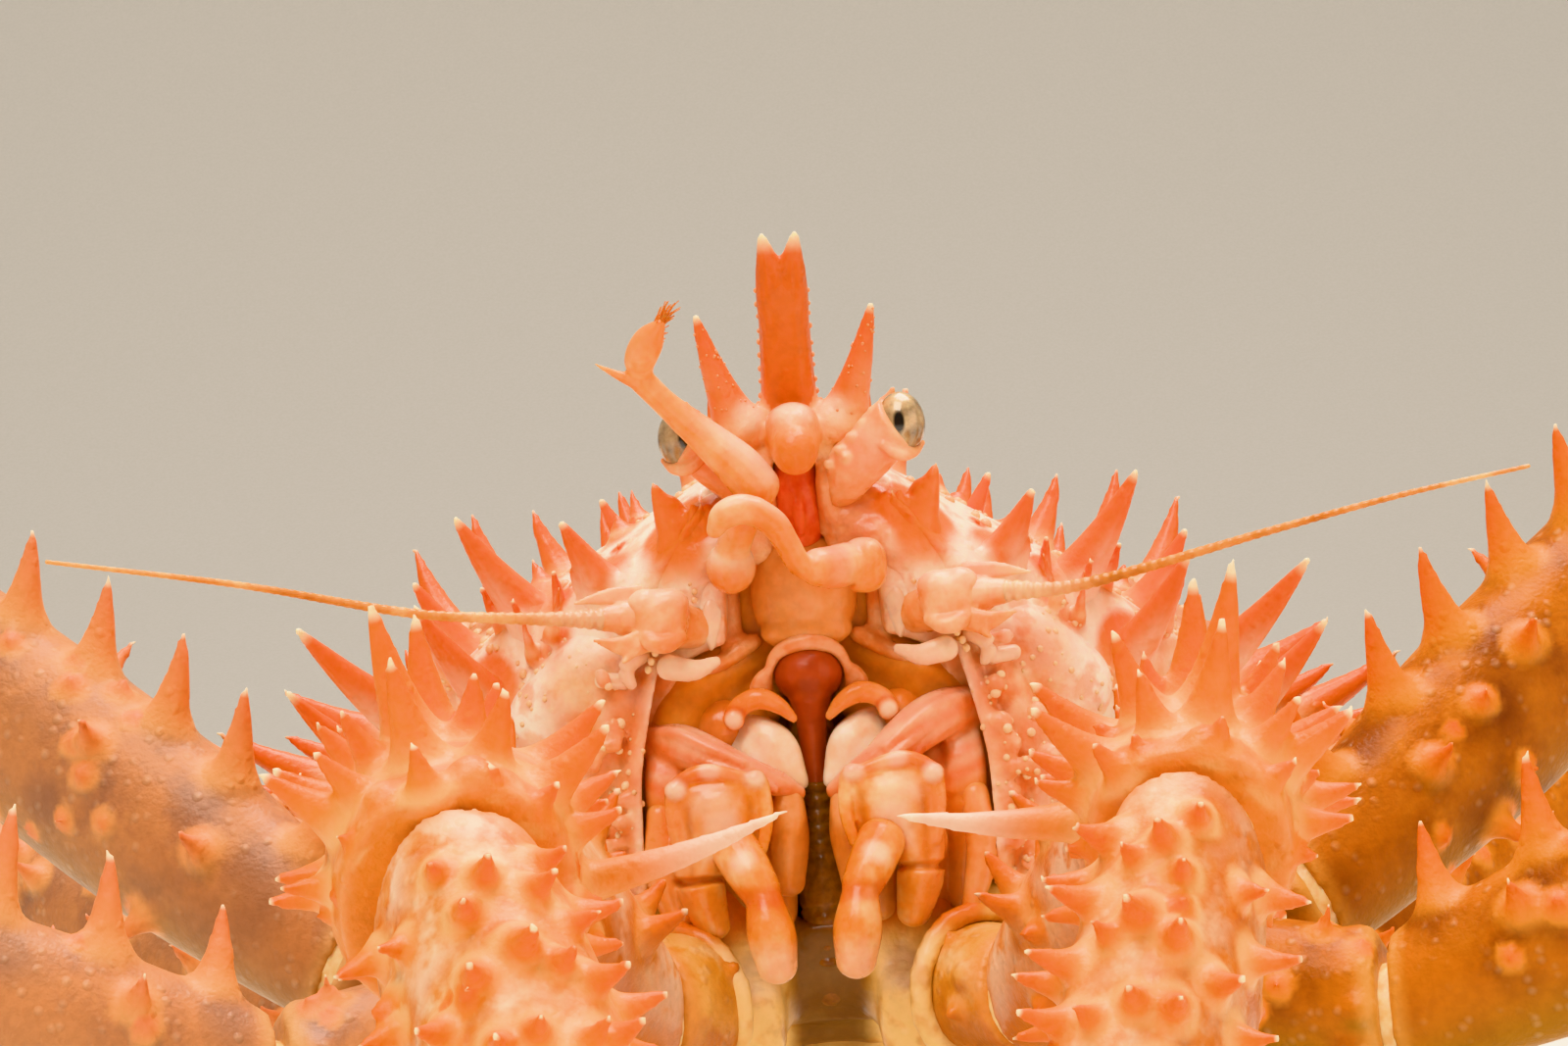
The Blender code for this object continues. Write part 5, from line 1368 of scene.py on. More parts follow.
def makeInnerLegs(sideName):
    # the arms and legs behind the large outer pair
    side = sideOf[sideName]
    title = sideName.capitalize()
    lift, girth = mouth["innerHold"][sideName]
    arm = np.array(((13.6, 1.8, -17.9 + lift), (11.2, -0.2, -18.2 + lift), (8.6, -1.6, -19.5 + lift),
                    (5.8, -2.4, -20.9 + 0.4 * lift), (3.2, -2.4, -22), (1.5, -2, -22.9)))
    inner = [
        faceSweep(arm, [girth * r for r in (1.4, 1.6, 1.55, 1.3, 1, 0.6)], side, square=2.5),
        faceSweep(arm[:4] + (0.2, -1.2 * girth, 0.9), (0.5, 0.7, 0.65, 0.4), side),
        faceSweep(arm[1:5] + (0.2, -1.4 * girth, -0.4), (0.4, 0.5, 0.5, 0.35), side),
    ]
    inner += formsOf(mouth["innerLegs"], side)
    item = fuse("innerMaxilliped" + title, inner, mouth["voxel"], 2)
    across, height = coordsOf(item)[:, 0], heightOf(item)
    pleats = 0.5 + 0.5 * np.sin((across * side * 0.45 - height * 1.1) * 3.2)
    arms = ramp(-23.4, -22, height + 0.35 * (13 - abs(across)))
    mark(item, "blush", (0.2 + 0.25 * pleats) * arms)
    # painted shade lower down
    mark(item, "shade", 0.35 * ramp(-21, -26, height) * (1 - arms))
    mark(item, "amber", 0.6 * ramp(-20.5, -23, height))
    # painted highlights on the arms' upper faces and in streaks across the pleats
    mark(item, "bone", (0.35 * ramp(0.1, 0.8, normalsOf(item)[:, 2]) + 0.15 * (1 - pleats)) * arms)
    dress(item, innerSkin, "appendage_cuticle")
    item = fuse("firstMaxilliped" + title, formsOf(mouth["nearLegs"], side), mouth["voxel"], 2)
    # painted shade lower down
    mark(item, "shade", 0.2 * ramp(-22, -28, heightOf(item)))
    dress(item, shieldSkin, "appendage_cuticle")


def makeMaxilliped(sideName):
    # the large outer pair: a box with its rims and knobs, and a club hung from it
    side = sideOf[sideName]
    title = sideName.capitalize()
    shift = mouth["boxShift"][sideName]
    move = np.array((shift, 0, 0))
    box = formsOf(mouth["box"], side, move) + formsOf(mouth["boxPalp"], side)
    item = fuse("maxilliped" + title, box, mouth["voxel"], 2)
    coords, height = coordsOf(item), heightOf(item)
    knobs = move + ((11, -5.6, -21.7), (4.2, -5.8, -21.1), (8, -5.8, -20.2))
    knob = np.min([awayFrom(coords, place, side) for place in knobs], axis=0)
    gleam = awayFrom(coords, move + (8, -6, -23), side, (0.5, 0.5, 0.625))
    core = (coords - facePoint(move + (7.4, -6, -25.6), side)) / (2.3, 4, 3.4)
    core = abs(core).max(axis=1)
    rims = ramp(0.3, 0, abs(core - 1.12)) * ramp(-22, -23.4, height)
    # painted highlights on the knobs and the front (the gleam), and a paler centre
    mark(item, "bone", np.maximum.reduce((0.7 * ramp(1.3, 0.5, knob), 0.35 * ramp(1.3, 0.5, gleam),
                                          0.5 * ramp(0.95, 0.35, core))))
    mark(item, "blush", 0.3 * ramp(0.9, 0.3, abs(height + 20.6)))
    # painted shade lower down, and dark lines along the rims
    mark(item, "shade", np.maximum(0.2 * ramp(-25.5, -29.5, height), 0.5 * rims))
    mark(item, "glow", 0.6 * ramp(8.6, 10.6, abs(coords[:, 0]) - shift) * ramp(-22, -24, height))
    dress(item, maxillipedSkin, "appendage_cuticle", "maxilliped_" + sideName)
    item = fuse("maxillipedClub" + title, formsOf(mouth["club"], side, move), mouth["voxel"], 2)
    height = heightOf(item)
    knee = awayFrom(coordsOf(item), move + (5.6, -7.8, -28.2), side)
    mark(item, "bone", np.maximum(0.25 * ramp(-34, -36.5, height), 0.6 * ramp(1.6, 0.8, knee)))
    mark(item, "cleft", 0.45 * ramp(1.3, 0.3, abs(height + 31)))
    # painted shade lower down
    mark(item, "shade", 0.2 * ramp(-27, -31, height))
    dress(item, maxillipedSkin, "appendage_cuticle")


makeLip()
for sideName in sideOf:
    makeMandible(sideName)
    makeInnerLegs(sideName)
    makeMaxilliped(sideName)
print("stage: mouth")

# The limbs: the joints from the body outwards, left side

legJoints = {
    "leg1": ((17, 13, 53), (48, 3, 44.5), (114, -16, 70), (138, -24, 66), (170, -36, 24), (183, -41, -3)),
    "leg2": ((19, 27, 47), (43, 20, 54), (92, 48, 92), (116, 62, 88), (152, 86, 34), (165, 94, -3)),
    "leg3": ((20, 42, 42), (41, 55, 38), (80, 96, 58), (97, 115, 60), (121, 147, 26), (129, 157, -3)),
}
legScale = {"leg1": 0.97, "leg2": 1, "leg3": 0.92}
# For each segment: half height and width, girth profile, and rows of spines (angle from the
# upper edge, first and last station, number, length, radius)
legParts = {
    "coxa": ((6.6, 6.2), ((-0.12, 0.95), (0.25, 1), (0.5, 0.86), (0.8, 0.98), (1.12, 0.92)),
             ((20, 0.55, 0.8, 2, 4, 1.2),)),
    "merus": ((8.8, 6.8), ((-0.08, 0.62), (0.1, 0.82), (0.35, 1), (0.7, 0.98), (0.9, 0.94), (1.08, 0.8)),
              ((8, 0.12, 0.93, 7, 8.6, 2), (62, 0.2, 0.9, 4, 5, 1.4), (128, 0.25, 0.86, 3, 5, 1.4),
               (-58, 0.25, 0.9, 3, 5.2, 1.4))),
    "carpus": ((7.4, 6.6), ((-0.2, 0.66), (0.15, 0.8), (0.6, 1), (0.86, 1), (1.2, 0.76)),
               ((6, 0.3, 0.85, 3, 7.4, 1.8), (70, 0.35, 0.85, 2, 5, 1.4), (-65, 0.4, 0.85, 2, 5, 1.4))),
    "propodus": ((5.2, 4.8), ((-0.1, 0.86), (0.12, 1.06), (0.45, 0.98), (0.8, 0.88), (1.1, 0.78)),
                 ((5, 0.12, 0.85, 5, 4.6, 1.3), (75, 0.2, 0.8, 3, 3.8, 1.1), (-80, 0.2, 0.8, 3, 3.8, 1.1),
                  (175, 0.3, 0.7, 2, 3.4, 1))),
    "dactyl": ((3.2, 3), ((-0.15, 0.96), (0.1, 1.05), (0.4, 0.82), (0.7, 0.58), (0.9, 0.36), (1.02, 0.22)),
               ((0, 0.12, 0.45, 2, 2.4, 0.8),)),
}
clawJoints = ((11.5, 0, 50), (17, -9, 49), (29, -34, 66), (27.5, -55, 64), (20, -72, 40), (12, -81, 16))
clawScale = {"left": 0.92, "right": 1.08}
innerThorn = {"left": (15.5, 0, 0.1), "right": (18.5, 4, 0.28)}  # length, drop of the root, rise to the tip
palmShade = {"left": 0.55, "right": 0.15}  # the left one is browner outside
clawParts = {
    "coxa": ((6, 5.6), ((-0.2, 0.9), (0.3, 1), (0.7, 0.96), (1.2, 0.9)), ()),
    "merus": ((7.6, 7), ((-0.1, 0.66), (0.15, 0.84), (0.5, 1), (0.85, 1.02), (1.1, 0.9)),
              ((0, 0.3, 0.92, 3, 6, 1.6), (70, 0.4, 0.9, 2, 4.6, 1.4), (-70, 0.4, 0.9, 2, 4.6, 1.4))),
    "carpus": ((9.4, 8.8), ((-0.25, 0.72), (0.15, 0.92), (0.55, 1.04), (0.9, 0.96), (1.25, 0.8)),
               ((12, 0.15, 0.8, 3, 10.5, 2.3), (-42, 0.3, 0.8, 2, 7.5, 1.9), (62, 0.3, 0.8, 2, 7.5, 1.9))),
    "palm": ((9.6, 7.2), ((-0.12, 0.72), (0.15, 0.9), (0.5, 1), (0.8, 0.96), (1, 0.8)),
             ((10, 0.15, 0.85, 4, 5.6, 1.5), (62, 0.2, 0.8, 3, 4.6, 1.3), (-60, 0.2, 0.8, 3, 4.6, 1.3))),
}
# Spines of the claw legs that only the render carries, in the same terms
moreRows = {
    "merus": ((35, 0.3, 0.9, 3, 4.6, 1.4), (-36, 0.35, 0.9, 3, 4.6, 1.4)),
    "carpus": ((-14, 0.2, 0.85, 3, 6.4, 1.8), (38, 0.12, 0.85, 4, 6.6, 1.7), (86, 0.3, 0.8, 3, 5.2, 1.5),
               (-70, 0.2, 0.8, 3, 5.4, 1.5)),
    "palm": ((34, 0.08, 0.8, 5, 5, 1.4), (-34, 0.12, 0.84, 5, 4.8, 1.4), (-10, 0.2, 0.9, 4, 4, 1.2),
             (88, 0.15, 0.8, 4, 4.4, 1.3), (-86, 0.2, 0.8, 3, 4.4, 1.3)),
}
fingerGirth = 3.3
fingers = {
    # station and height along each finger, then its radii as shares of the girth
    "Fixed": (((-0.25, -2.9), (0.2, -3.6), (0.6, -3.06), (0.97, -0.72)), (1.15, 1, 0.75, 0.25)),
    "Moving": (((0.06, 3.51), (0.3, 4.29), (0.65, 3.7), (1, 1.37)), (0.95, 0.98, 0.72, 0.22)),
}
tuft = {"bundles": 6, "bristles": 9, "size": (1.7, 0.08)}  # on each finger; length and radius in mm
limb = {
    "legBuild": (0.64, 2.6), "clawBuild": (0.48, 2.8),  # voxel and longest small spine in mm
    "easing": 4, "rimLobes": 15, "crown": 10, "teeth": 7,
    "smallThorns": 18,  # on 40 mm of limb
    "turnWander": 7, "stationWander": 0.015,  # degrees, share of the segment: how far a row's spines stray
    "slitReach": 2.6,  # mm that the soft skin runs into each segment
}


def jointsOf(places, side):
    return [np.array((x * side, y, z), float) for x, y, z in places]


def limbAxes(start, end):
    ahead = unit(end - start)
    side, top = axesOf(ahead, np.array((0, 0, 1)))
    return ahead, top, side


def jointNormal(joints, index):
    before = unit(joints[index] - joints[index - 1]) if index > 0 else None
    after = unit(joints[index + 1] - joints[index]) if index + 1 < len(joints) else None
    if before is None or after is None:
        return after if before is None else before
    return unit(before + after)


def segmentOf(joints, index, values, scale):
    # ends, axes and cross section of a segment, and the planes that it stops at
    girth, profile, _ = values
    start, end = joints[index], joints[index + 1]
    ahead, top, side = limbAxes(start, end)
    planes = [(start, -jointNormal(joints, index))]
    if index + 2 < len(joints):
        planes.append((end, jointNormal(joints, index + 1)))
    return SimpleNamespace(index=index, start=start, end=end, ahead=ahead, top=top, side=side, girth=girth,
                           profile=profile, scale=scale, planes=planes)


def girthAt(profile, station):
    return np.interp(station, [p[0] for p in profile], [p[1] for p in profile])


def segmentBody(part, gap=0.5):
    # bar with mitred ends that stop at the joints' planes
    smooth = smoothRun(part.profile, 6)
    stations = np.linspace(part.profile[0][0], part.profile[-1][0], 46)
    width = np.interp(stations, smooth[:, 0], smooth[:, 1]) * part.scale
    across, over = circle(40, 2.3, math.pi / 40)
    ring = part.side * (across * part.girth[1])[:, None] + part.top * (over * part.girth[0])[:, None]
    centres = part.start + (part.end - part.start) * stations[:, None]
    rings = centres[:, None] + ring[None] * width[:, None, None]
    for place, normal in part.planes:
        past = ((rings - place) @ normal + gap).clip(0, None)
        rings = rings - past[..., None] * part.ahead / (part.ahead @ normal)
    return loft(rings)


def outFrom(part, turn):
    # from the segment's axis to its surface where its girth is full
    return part.top * math.cos(turn) * part.girth[0] + part.side * math.sin(turn) * part.girth[1]


def surfaceAt(part, station, out):
    share = girthAt(part.profile, station)
    return part.start + (part.end - part.start) * station + out * share * part.scale


def nearRim(part, out, share, back):
    # place at the segment's far end, so many mm before the plane of the joint
    normal = part.planes[-1][1]
    place = part.end + out * girthAt(part.profile, 1) * part.scale * share
    return place - part.ahead * (((place - part.end) @ normal) + back) / (part.ahead @ normal)


def rowThorns(name, part, rows):
    # the solids' rows of spines, at the same places
    sense = -1 if part.side[1] > 0 else 1
    draw = random.Random(name)
    thorns = []
    for angle, first, last, count, length, radius in rows:
        for i in range(count):
            share = first + (last - first) * (i / (count - 1) if count > 1 else 0.5)
            turn = math.radians(angle + draw.uniform(-limb["turnWander"], limb["turnWander"]))
            station = share + draw.uniform(-limb["stationWander"], limb["stationWander"])
            size = draw.uniform(0.78, 1.12) * (0.8 + 0.3 * math.sin(math.pi * share))
            out = outFrom(part, sense * turn)
            root = surfaceAt(part, station, out)
            aim = unit(unit(out) + part.ahead * draw.uniform(0.1, 0.34))
            thorns.append((root, root + aim * length * size, radius * min(size, 1)))
    return thorns


def looseThorns(seed, part, count, longest):
    # small spines and warts between the rows
    draw = random.Random(seed)
    thorns = []
    for _ in range(count):
        station = draw.uniform(0.12, 0.92)
        out = outFrom(part, draw.uniform(0, 2 * math.pi))
        root = surfaceAt(part, station, out)
        length = draw.uniform(0.35, 1) * longest
        aim = unit(unit(out) + part.ahead * draw.uniform(0.1, 0.4))
        thorns.append((root, root + aim * length, 0.34 * length + 0.25))
    return thorns


def crownThorns(seed, part, count, longest):
    # spines round the far rim that lean over the next segment
    draw = random.Random(seed)
    thorns = []
    for k in range(count):
        out = outFrom(part, 2 * math.pi * (k + draw.uniform(0.15, 0.85)) / count)
        root = nearRim(part, out, 0.9, draw.uniform(1.4, 3))
        length = draw.uniform(0.45, 1) * longest
        aim = unit(unit(out) + part.ahead * draw.uniform(0.2, 0.55))
        thorns.append((root, root + aim * length, 0.26 * length + 0.3))
    return thorns


def rimForms(part, count):
    # uneven knobs round the far end of a segment
    draw = random.Random(part.index * 31 + int(part.girth[0] * 10))
    forms = []
    for k in range(count):
        out = outFrom(part, 2 * math.pi * (k + draw.uniform(0.1, 0.9)) / count)
        place = nearRim(part, out, draw.uniform(0.84, 0.95), draw.uniform(1.9, 3.4))
        size = (part.girth[0] + part.girth[1]) * part.scale * draw.choice((0.05, 0.08, 0.11, 0.14))
        forms.append(ball(place, (size, size, size), None, 14, 8))
    return forms


def limbSegment(node, part, rows, material, voxel, longest, extra=()):
    limbName, sideName, partName = node.split("_")
    forms = [segmentBody(part)]
    thorns = rowThorns(node.replace("right", "left"), part, rows)
    length = np.linalg.norm(part.end - part.start)
    thorns += looseThorns(node, part, int(limb["smallThorns"] * length / 40), longest)
    thorns += list(extra)
    if partName in ("merus", "carpus"):
        thorns += crownThorns(node + "Crown", part, limb["crown"], 1.6 * longest)
    forms += [thorn(*values, around=10) for values in thorns]
    if len(part.planes) == 2:
        forms += rimForms(part, limb["rimLobes"])
    item = fuse(limbName + sideName.capitalize() + partName.capitalize(), forms, voxel, limb["easing"])
    markThorns(item, thorns, spread=5)
    mark(item, "thornShare", readMark(item, "thornShare") * 1.06)  # the fused tips end a little early
    coords = coordsOf(item)
    planes = part.planes if part.index > 0 else part.planes[1:]  # the root has no slit
    slits = [ramp(-2.6, -0.8, (coords - place) @ normal) for place, normal in planes]
    mark(item, "joint", np.max(slits, axis=0) * 0.6)
    mark(item, "under", ramp(0.1, -0.75, normalsOf(item)[:, 2]) * 0.9)
    dress(item, material, "limb_shell", node)
    return item


def jointMembranes(title, joints, parts, scale):
    # soft skin in the slits between the segments, as thick as both neighbours can hide
    forms = []
    shapes = [values[:2] for values in parts.values()]
    for index, (near, far) in enumerate(zip(shapes, shapes[1:])):
        size = min(min(near[0]) * girthAt(near[1], 1), min(far[0]) * girthAt(far[1], 0)) * 0.92 * scale
        reach = jointNormal(joints, index) * limb["slitReach"]
        run = (joints[index] - reach, joints[index], joints[index] + reach)
        forms.append(sweep(run, (size * 0.92, size, size * 0.92), 3, 24))
    dress(makeItem(title + "Membranes", forms), membraneSkin, "limb_shell")


def makeLeg(leg, sideName):
    scale = legScale[leg]
    joints = jointsOf(legJoints[leg], sideOf[sideName])
    for index, (name, values) in enumerate(legParts.items()):
        part = segmentOf(joints, index, values, scale)
        node = "%s_%s_%s" % (leg, sideName, name)
        item = limbSegment(node, part, values[2], limbSkin, *limb["legBuild"])
        if sideName == "right":
            mark(item, "bone", 0.13)  # this side's legs are made a little paler
        if name == "dactyl":
            coords = coordsOf(item)
            mark(item, "horn", ramp(9, 2.5, coords[:, 2]) * 0.9)
            coords[:, 2] = coords[:, 2].clip(0.02, None)
            setCoords(item, coords)
    jointMembranes(leg + sideName.capitalize(), joints[1:-1], legParts, scale)


def fingerForm(joints, scale, lift, radii):
    start, run = joints[4], joints[5] - joints[4]
    _, top, _ = limbAxes(joints[4], joints[5])
    points = [start + run * share + top * height * scale for share, height in lift]
    return sweep(points, [fingerGirth * scale * r for r in radii], 6, 20), points, top


def fingerTeeth(points, top, scale, count):
    # blunt ivory teeth along a finger's cutting edge
    run = smoothRun(points, 12)
    forms = []
    for k in range(count):
        t = int((0.2 + 0.7 * k / count) * (len(run) - 1))
        size = (1 - 0.45 * k / count) * (0.95 if k % 2 else 0.75) * scale
        place = run[t] + top * fingerGirth * scale * (0.92 - 0.5 * k / count)
        forms.append(ball(place, (size, size, size), None, 12, 8))
    return forms


def tufts(title, runs, scale):
    # bundles of stiff bristles along both fingers
    draw = random.Random(31)
    places, aims = [], []
    for points in runs:
        run = smoothRun(points, 10)
        for k in range(tuft["bundles"]):
            centre = run[int((0.15 + 0.13 * k) * (len(run) - 1))]
            outward = unit((draw.choice((-1, 1)), draw.uniform(-0.6, -0.1), draw.uniform(-0.3, 0.5)))
            for _ in range(tuft["bristles"]):
                aims.append(outward + np.array([draw.uniform(-0.35, 0.35) for _ in range(3)]))
                stray = np.array([draw.uniform(-0.3, 0.3) for _ in range(3)])
                places.append(centre + outward * 2.2 * scale * (1 - 0.1 * k) + stray)
    dress(makeItem(title + "Bristles", bristles(places, aims, *tuft["size"])), hairSkin, "limb_shell")


def makeClaw(sideName):
    side = sideOf[sideName]
    scale = clawScale[sideName]
    joints = jointsOf(clawJoints, side)
    title = "cheliped" + sideName.capitalize()
    length, drop, rise = innerThorn[sideName]
    inward = unit((-side, -0.15, rise))
    for index, (name, values) in enumerate(clawParts.items()):
        node = "cheliped_%s_%s" % (sideName, name)
        part = segmentOf(joints, index, values, scale)
        extra = []
        if name == "carpus":
            root = (part.start + part.end) / 2 + inward * part.girth[1] * scale * 0.92
            root = root - np.array((0, 0, drop))
            extra.append((root, root + inward * length, 1.8))
        extra += rowThorns(node + "More", part, moreRows.get(name, ()))
        skin = coxaSkin if name == "coxa" else clawSkin
        item = limbSegment(node, part, values[2], skin, *limb["clawBuild"], extra)
        outward = side * normalsOf(item)[:, 0]
        bare = 1 - readMark(item, "thornCover")
        if name == "carpus":
            away, along = distanceToLine(coordsOf(item), root, root + inward * length)
            mark(item, "bone", 0.75 * ramp(0.2, 0.75, along) * ramp(2.6, 1.8, away))
            mark(item, "amber", 0.5 * ramp(1.8, 4, away) * bare)
        elif name == "palm":
            mark(item, "amber", 0.45 * ramp(0.1, 0.8, -outward) * bare)
            mark(item, "shade", palmShade[sideName] * ramp(-0.1, 0.6, outward) * bare)
        else:
            # browner all over, and darker on the undersides as painted shade
            mark(item, "shade", 0.3 + 0.4 * ramp(0.3, -0.5, normalsOf(item)[:, 2]))
    nodes = {"Fixed": (), "Moving": ("cheliped_%s_finger" % sideName,)}  # the fixed one belongs to the palm
    runs = {}
    for name, values in fingers.items():
        form, runs[name], top = fingerForm(joints, scale, *values)
        item = fuse(title + name + "Finger", [form], 0.3, 3)
        ahead = joints[5] - joints[4]
        share = (coordsOf(item) - joints[4]) @ unit(ahead) / np.linalg.norm(ahead)
        mark(item, "bone", ramp(0.55, 0.85, share) * 0.8)
        mark(item, "horn", ramp(0.9, 1, share) * 0.6)
        mark(item, "valley", 0.2)
        dress(item, clawSkin, "limb_shell", *nodes[name])
    teeth = fingerTeeth(runs["Fixed"], top, scale, limb["teeth"])
    teeth += fingerTeeth(runs["Moving"], -top, scale, limb["teeth"])
    dress(makeItem(title + "Teeth", teeth), mandibleSkin, "mandible")
    tufts(title, (runs["Moving"], runs["Fixed"]), scale)
    jointMembranes(title, joints[1:4], clawParts, scale)


for sideName in sideOf:
    makeClaw(sideName)
    for leg in legJoints:
        makeLeg(leg, sideName)
    print("stage: limbs,", sideName)

# The underside: breast and folded tail

underside = {
    "voxel": 0.76, "easing": 3,
    "pads": (
        ("bar", ((4.6, 2.2, -32.6), (5, 1.4, -36.6), (4.6, 3, -41.6)), (1.8, 2.3, 1.9)),
        ("bar", ((8.6, 2, -32.2), (9, 1, -36.2), (7.8, 3.4, -42.4)), (2.2, 2.4, 2)),
        ("block", (6.4, 0.6, -42), (2.5, 2.8, 4.2), {"power": 3.4, "turn": 18}),
        ("block", (10.4, -0.4, -44.6), (2.4, 2.6, 3.6), {"power": 3.4, "turn": 24}),
    ),
    "ridges": ((24, -45.2), (33, -44.6), (42, -43), (51, -41.4)),  # place along the body, and height
    # the tail: place along the body, height, half width, half thickness
    "tail": ((99, -16, 15, 4), (103, -19, 18, 4.5), (105, -26, 22, 4.6), (100, -32, 24, 4.8),
             (90, -35.5, 24, 5), (76, -40, 21, 5.2), (62, -43, 17, 5), (54, -44.5, 11, 4.4),
             (49, -45, 5, 3.4)),
    "foldPitch": 11.5, "foldWidth": 1.6,  # mm between the tail's folds, and their width
    "foldDepth": 0.24,  # share of the tail's thickness
    "granules": (260, 8, 0.3, 0.8, 0.5),  # in the terms of the carapace's granules
}


def socketRing(places, girth, scale, side):
    # swollen rim round the root of a limb
    start, end = jointsOf(places[:2], side)
    ahead, top, across = limbAxes(start, end)
    ring = []
    for turn in np.linspace(0, 2 * math.pi, 17):
        out = top * math.cos(turn) * girth[0] + across * math.sin(turn) * girth[1]
        ring.append(start + ahead * 2 + out * scale * 1.06)
    return sweep(ring, [1.15] * 17, 2, 10, up=tuple(ahead))


def makeThorax():
    above = halfSpace(shellLine(), 120, -carapace["shellEdge"])
    forms = [cutForm(loft(bodyRings()), [mouthCavity(), above])]
    for side in (1, -1):
        forms += [socketRing(legJoints[leg], legParts["coxa"][0], legScale[leg], side) for leg in legJoints]
        forms.append(socketRing(clawJoints, clawParts["coxa"][0], 1, side))
        forms += formsOf(underside["pads"], side)
    for along, height in underside["ridges"]:
        ridge = [bodyPoint(along, x, height + 0.05 * abs(x)) for x in (-10, -5, 0, 5, 10)]
        forms.append(sweep(ridge, (1.2, 1.7, 1.1, 1.7, 1.2), 3, 12))
    item = fuse("thoraxShell", forms, underside["voxel"], underside["easing"])
    across, back, _ = coordsOf(item).T
    _, facingBack, facingUp = normalsOf(item).T
    height = heightOf(item)
    mark(item, "lining", ramp(12, 9, back) * ramp(14, 12.5, abs(across)) * ramp(-36, -33, height))
    front = ramp(27, 18, back) * ramp(-30, -34, height)
    channel = ramp(4.4, 2.4, abs(across)) * front
    # the channel down the breast: darker skin, deepened as painted shade
    mark(item, "horn", 0.85 * channel)
    lobes = front * (1 - channel) * ramp(12, 9, abs(across))
    mark(item, "shade", 0.3 * lobes * ramp(-36, -33, height))
    pads = ramp(-34, -37, height) * ramp(30, 20, back) * (1 - channel)
    # painted highlight on the pads' faces that look forward and up
    mark(item, "bone", 0.3 * pads * ramp(0, -0.8, facingBack) * ramp(-0.2, 0.4, facingUp))
    mark(item, "valley", 0.15 + 0.8 * pads)
    dress(item, undersideSkin, "underside_shell", "thorax")


def makeAbdomen():
    run = smoothRun([(0, along, height) for along, height, _, _ in underside["tail"]], 9)
    size = smoothRun([(half, thick, 0) for _, _, half, thick in underside["tail"]], 9)
    points = np.array([bodyPoint(along, 0, height) for _, along, height in run])
    ahead = np.gradient(points, axis=0)
    ahead /= np.linalg.norm(ahead, axis=1)[:, None]
    normal = np.cross(np.array((1, 0, 0)), ahead)
    pitch, width = underside["foldPitch"], underside["foldWidth"]
    phase = distanceAlong(points) % pitch
    fold = 1
    for past in (phase, pitch - phase):
        fold = fold - underside["foldDepth"] * np.exp(-(past / width) ** 2)
    across, over = circle(48, 2.2)
    rings = points[:, None] + np.array((1, 0, 0)) * (across[None] * size[:, :1])[..., None]
    rings = rings + normal[:, None] * (over[None] * (size[:, 1] * fold)[:, None])[..., None]
    item = fuse("abdomenShell", [loft(rings)], underside["voxel"], underside["easing"])
    mark(item, "amber", 0.5)
    dress(item, undersideSkin, "underside_shell", "abdomen")

    def outward(coords, normals):
        return (abs(normals[:, 0]) < 0.9) & ((coords[:, 1] > 105) | (normals[:, 2] < -0.2))

    strewStuds("abdomenGranules", item, underside["granules"], outward, undersideSkin, "underside_shell")


makeThorax()
makeAbdomen()
print("stage: underside")

# Floor, light and camera

studio = {
    "floor": "#EDE8E1", "floorShade": "#E9E4DC",  # the paper's two tones
    "fibres": 900,  # clouds of the two tones in a metre
    # metres: front edge, start and radius of the bend, upper edge, half width
    "sweep": (-2.5, 1.2, 0.6, 3, 3),
    "world": "#F3EEE8", "worldLight": 0.34,
    "aim": (0, -0.02, 0.07),  # metres, where the lamps point
}
lamps = {
    # place in metres, size, watts, colour
    "keySoftBox": ((-0.25, -0.65, 1), 0.6, 10.5, "#FFF4E4"),
    "topSoftBox": ((0.12, 0.12, 1), 0.7, 15.5, "#FFFCF4"),
    "fillSoftBox": ((0.85, -0.6, 0.3), 0.8, 3.5, "#FFE2C6"),
}
view = {
    "place": (-1.17, -450, faceHeight),  # mm: level with the face and 45 cm in front of it
    "roll": 4,  # degrees, as the photograph is
    "focal": 5400, "frame": 1600,  # pixels of focal length on a frame so many pixels wide
}
bpy.context.scene.view_settings.view_transform = "Khronos PBR Neutral"  # keeps the shell's orange true


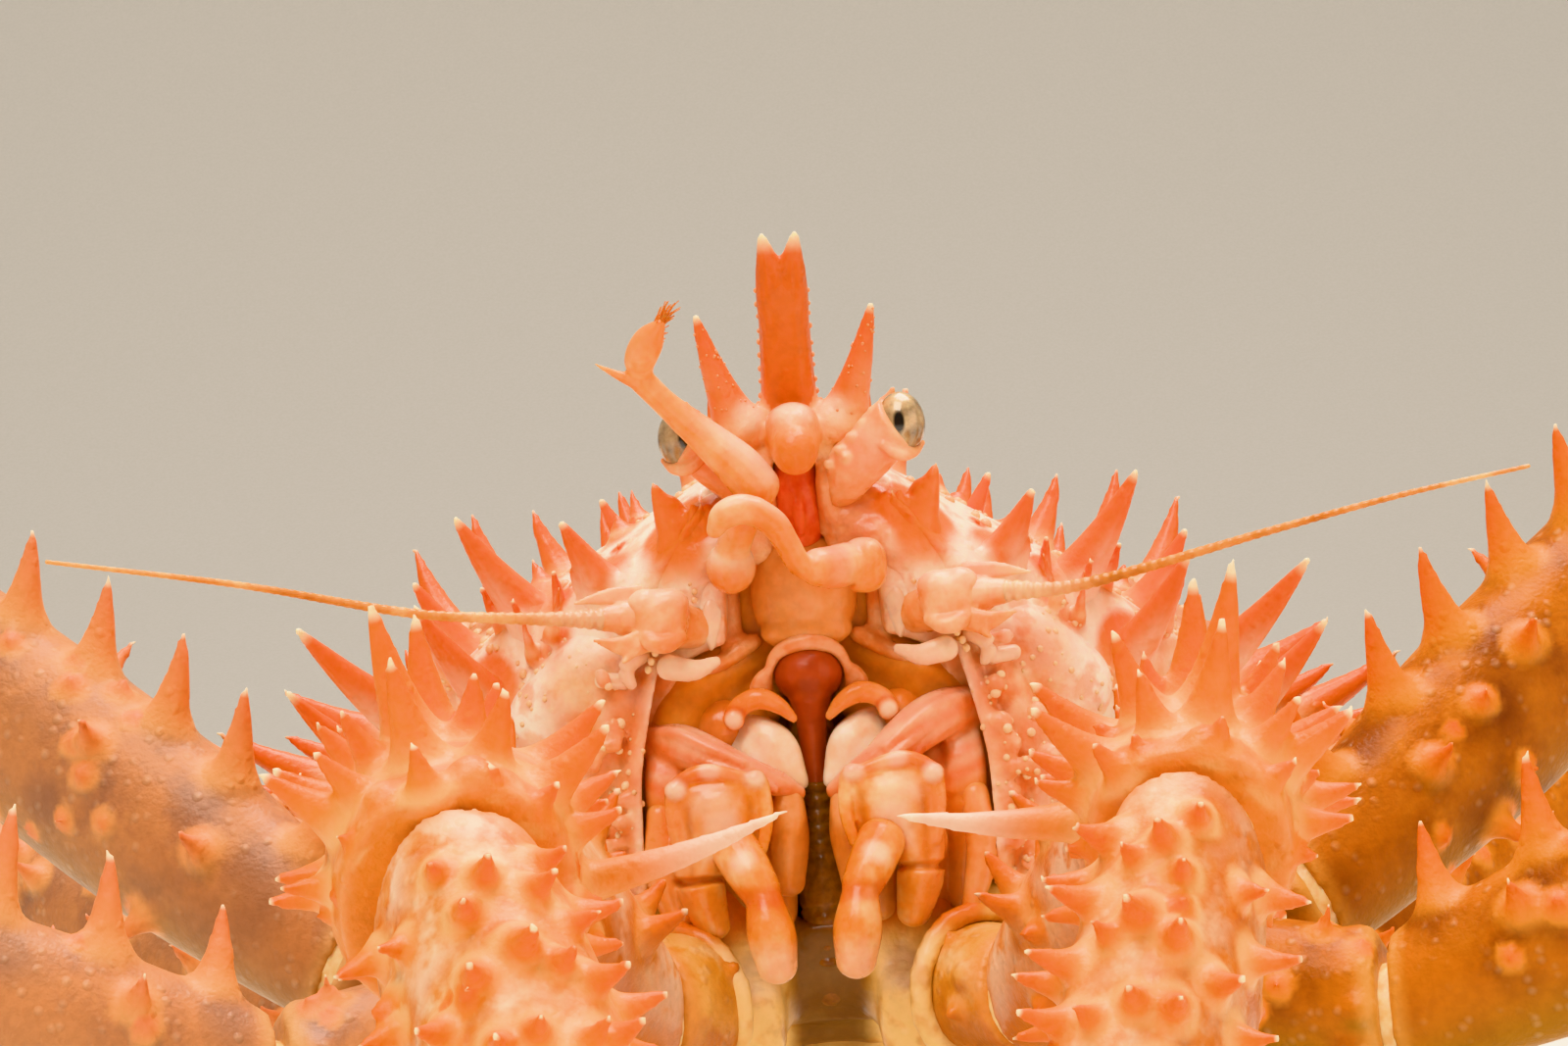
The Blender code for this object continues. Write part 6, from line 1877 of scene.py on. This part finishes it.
def makeFloor():
    # pale sweep of paper that rises far behind the crab
    front, start, bend, top, half = studio["sweep"]
    profile = [(front, 0), (start, 0)]
    for turn in np.linspace(0.1, math.pi / 2, 14):
        profile.append((start + bend * math.sin(turn), bend - bend * math.cos(turn)))
    profile.append((start + bend, top))
    points = [(x, y, z) for y, z in profile for x in (-half, half)]
    faces = [(2 * i, 2 * i + 1, 2 * i + 3, 2 * i + 2) for i in range(len(profile) - 1)]
    mesh = bpy.data.meshes.new("paperSweep")
    mesh.from_pydata(points, [], faces)
    mesh.shade_smooth()
    material, shader, add = newMaterial("mattPaper")
    place = add("TexCoord", {}, "Object")
    clouds = add("TexNoise", {"Vector": place, "Scale": studio["fibres"], "Detail": 3})
    tone = add("ValToRGB", {0: clouds}, stops=((0.3, studio["floorShade"]), (0.7, studio["floor"])))
    setSockets(shader, {"Base Color": tone, "Roughness": 0.85})
    mesh.materials.append(material)
    placeInScene("paperSweep", mesh)


def makeLamps():
    for name, (place, size, power, colour) in lamps.items():
        data = bpy.data.lights.new(name, "AREA")
        data.size = size
        data.energy = power
        data.color = srgb(colour)[:3]
        lamp = placeInScene(name, data)
        lamp.location = place
        lamp.rotation_euler = (Vector(studio["aim"]) - Vector(place)).to_track_quat("-Z", "Y").to_euler()
    world = bpy.data.worlds.new("paleRoom")
    world.use_nodes = True
    glow = {"Color": studio["world"], "Strength": studio["worldLight"]}
    setSockets(world.node_tree.nodes["Background"], glow)
    bpy.context.scene.world = world


def makeCamera():
    data = bpy.data.cameras.new("faceCamera")
    data.sensor_width = 36
    data.lens = view["focal"] / view["frame"] * data.sensor_width
    data.clip_start = 0.01
    data.clip_end = 20
    camera = placeInScene("faceCamera", data)
    level = Matrix.Rotation(math.radians(90), 4, "X")
    roll = Matrix.Rotation(math.radians(-view["roll"]), 4, "Z")
    camera.matrix_world = Matrix.Translation((np.array(view["place"]) + originShift) * mm) @ (level @ roll)
    bpy.context.scene.camera = camera


makeFloor()
makeLamps()
makeCamera()

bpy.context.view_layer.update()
meshes = [item.data for item in bpy.data.objects if item.type == "MESH"]
faceCount = sum(len(mesh.loop_triangles) or len(mesh.polygons) * 2 for mesh in meshes)
print("stage: finished, about", faceCount, "triangles")
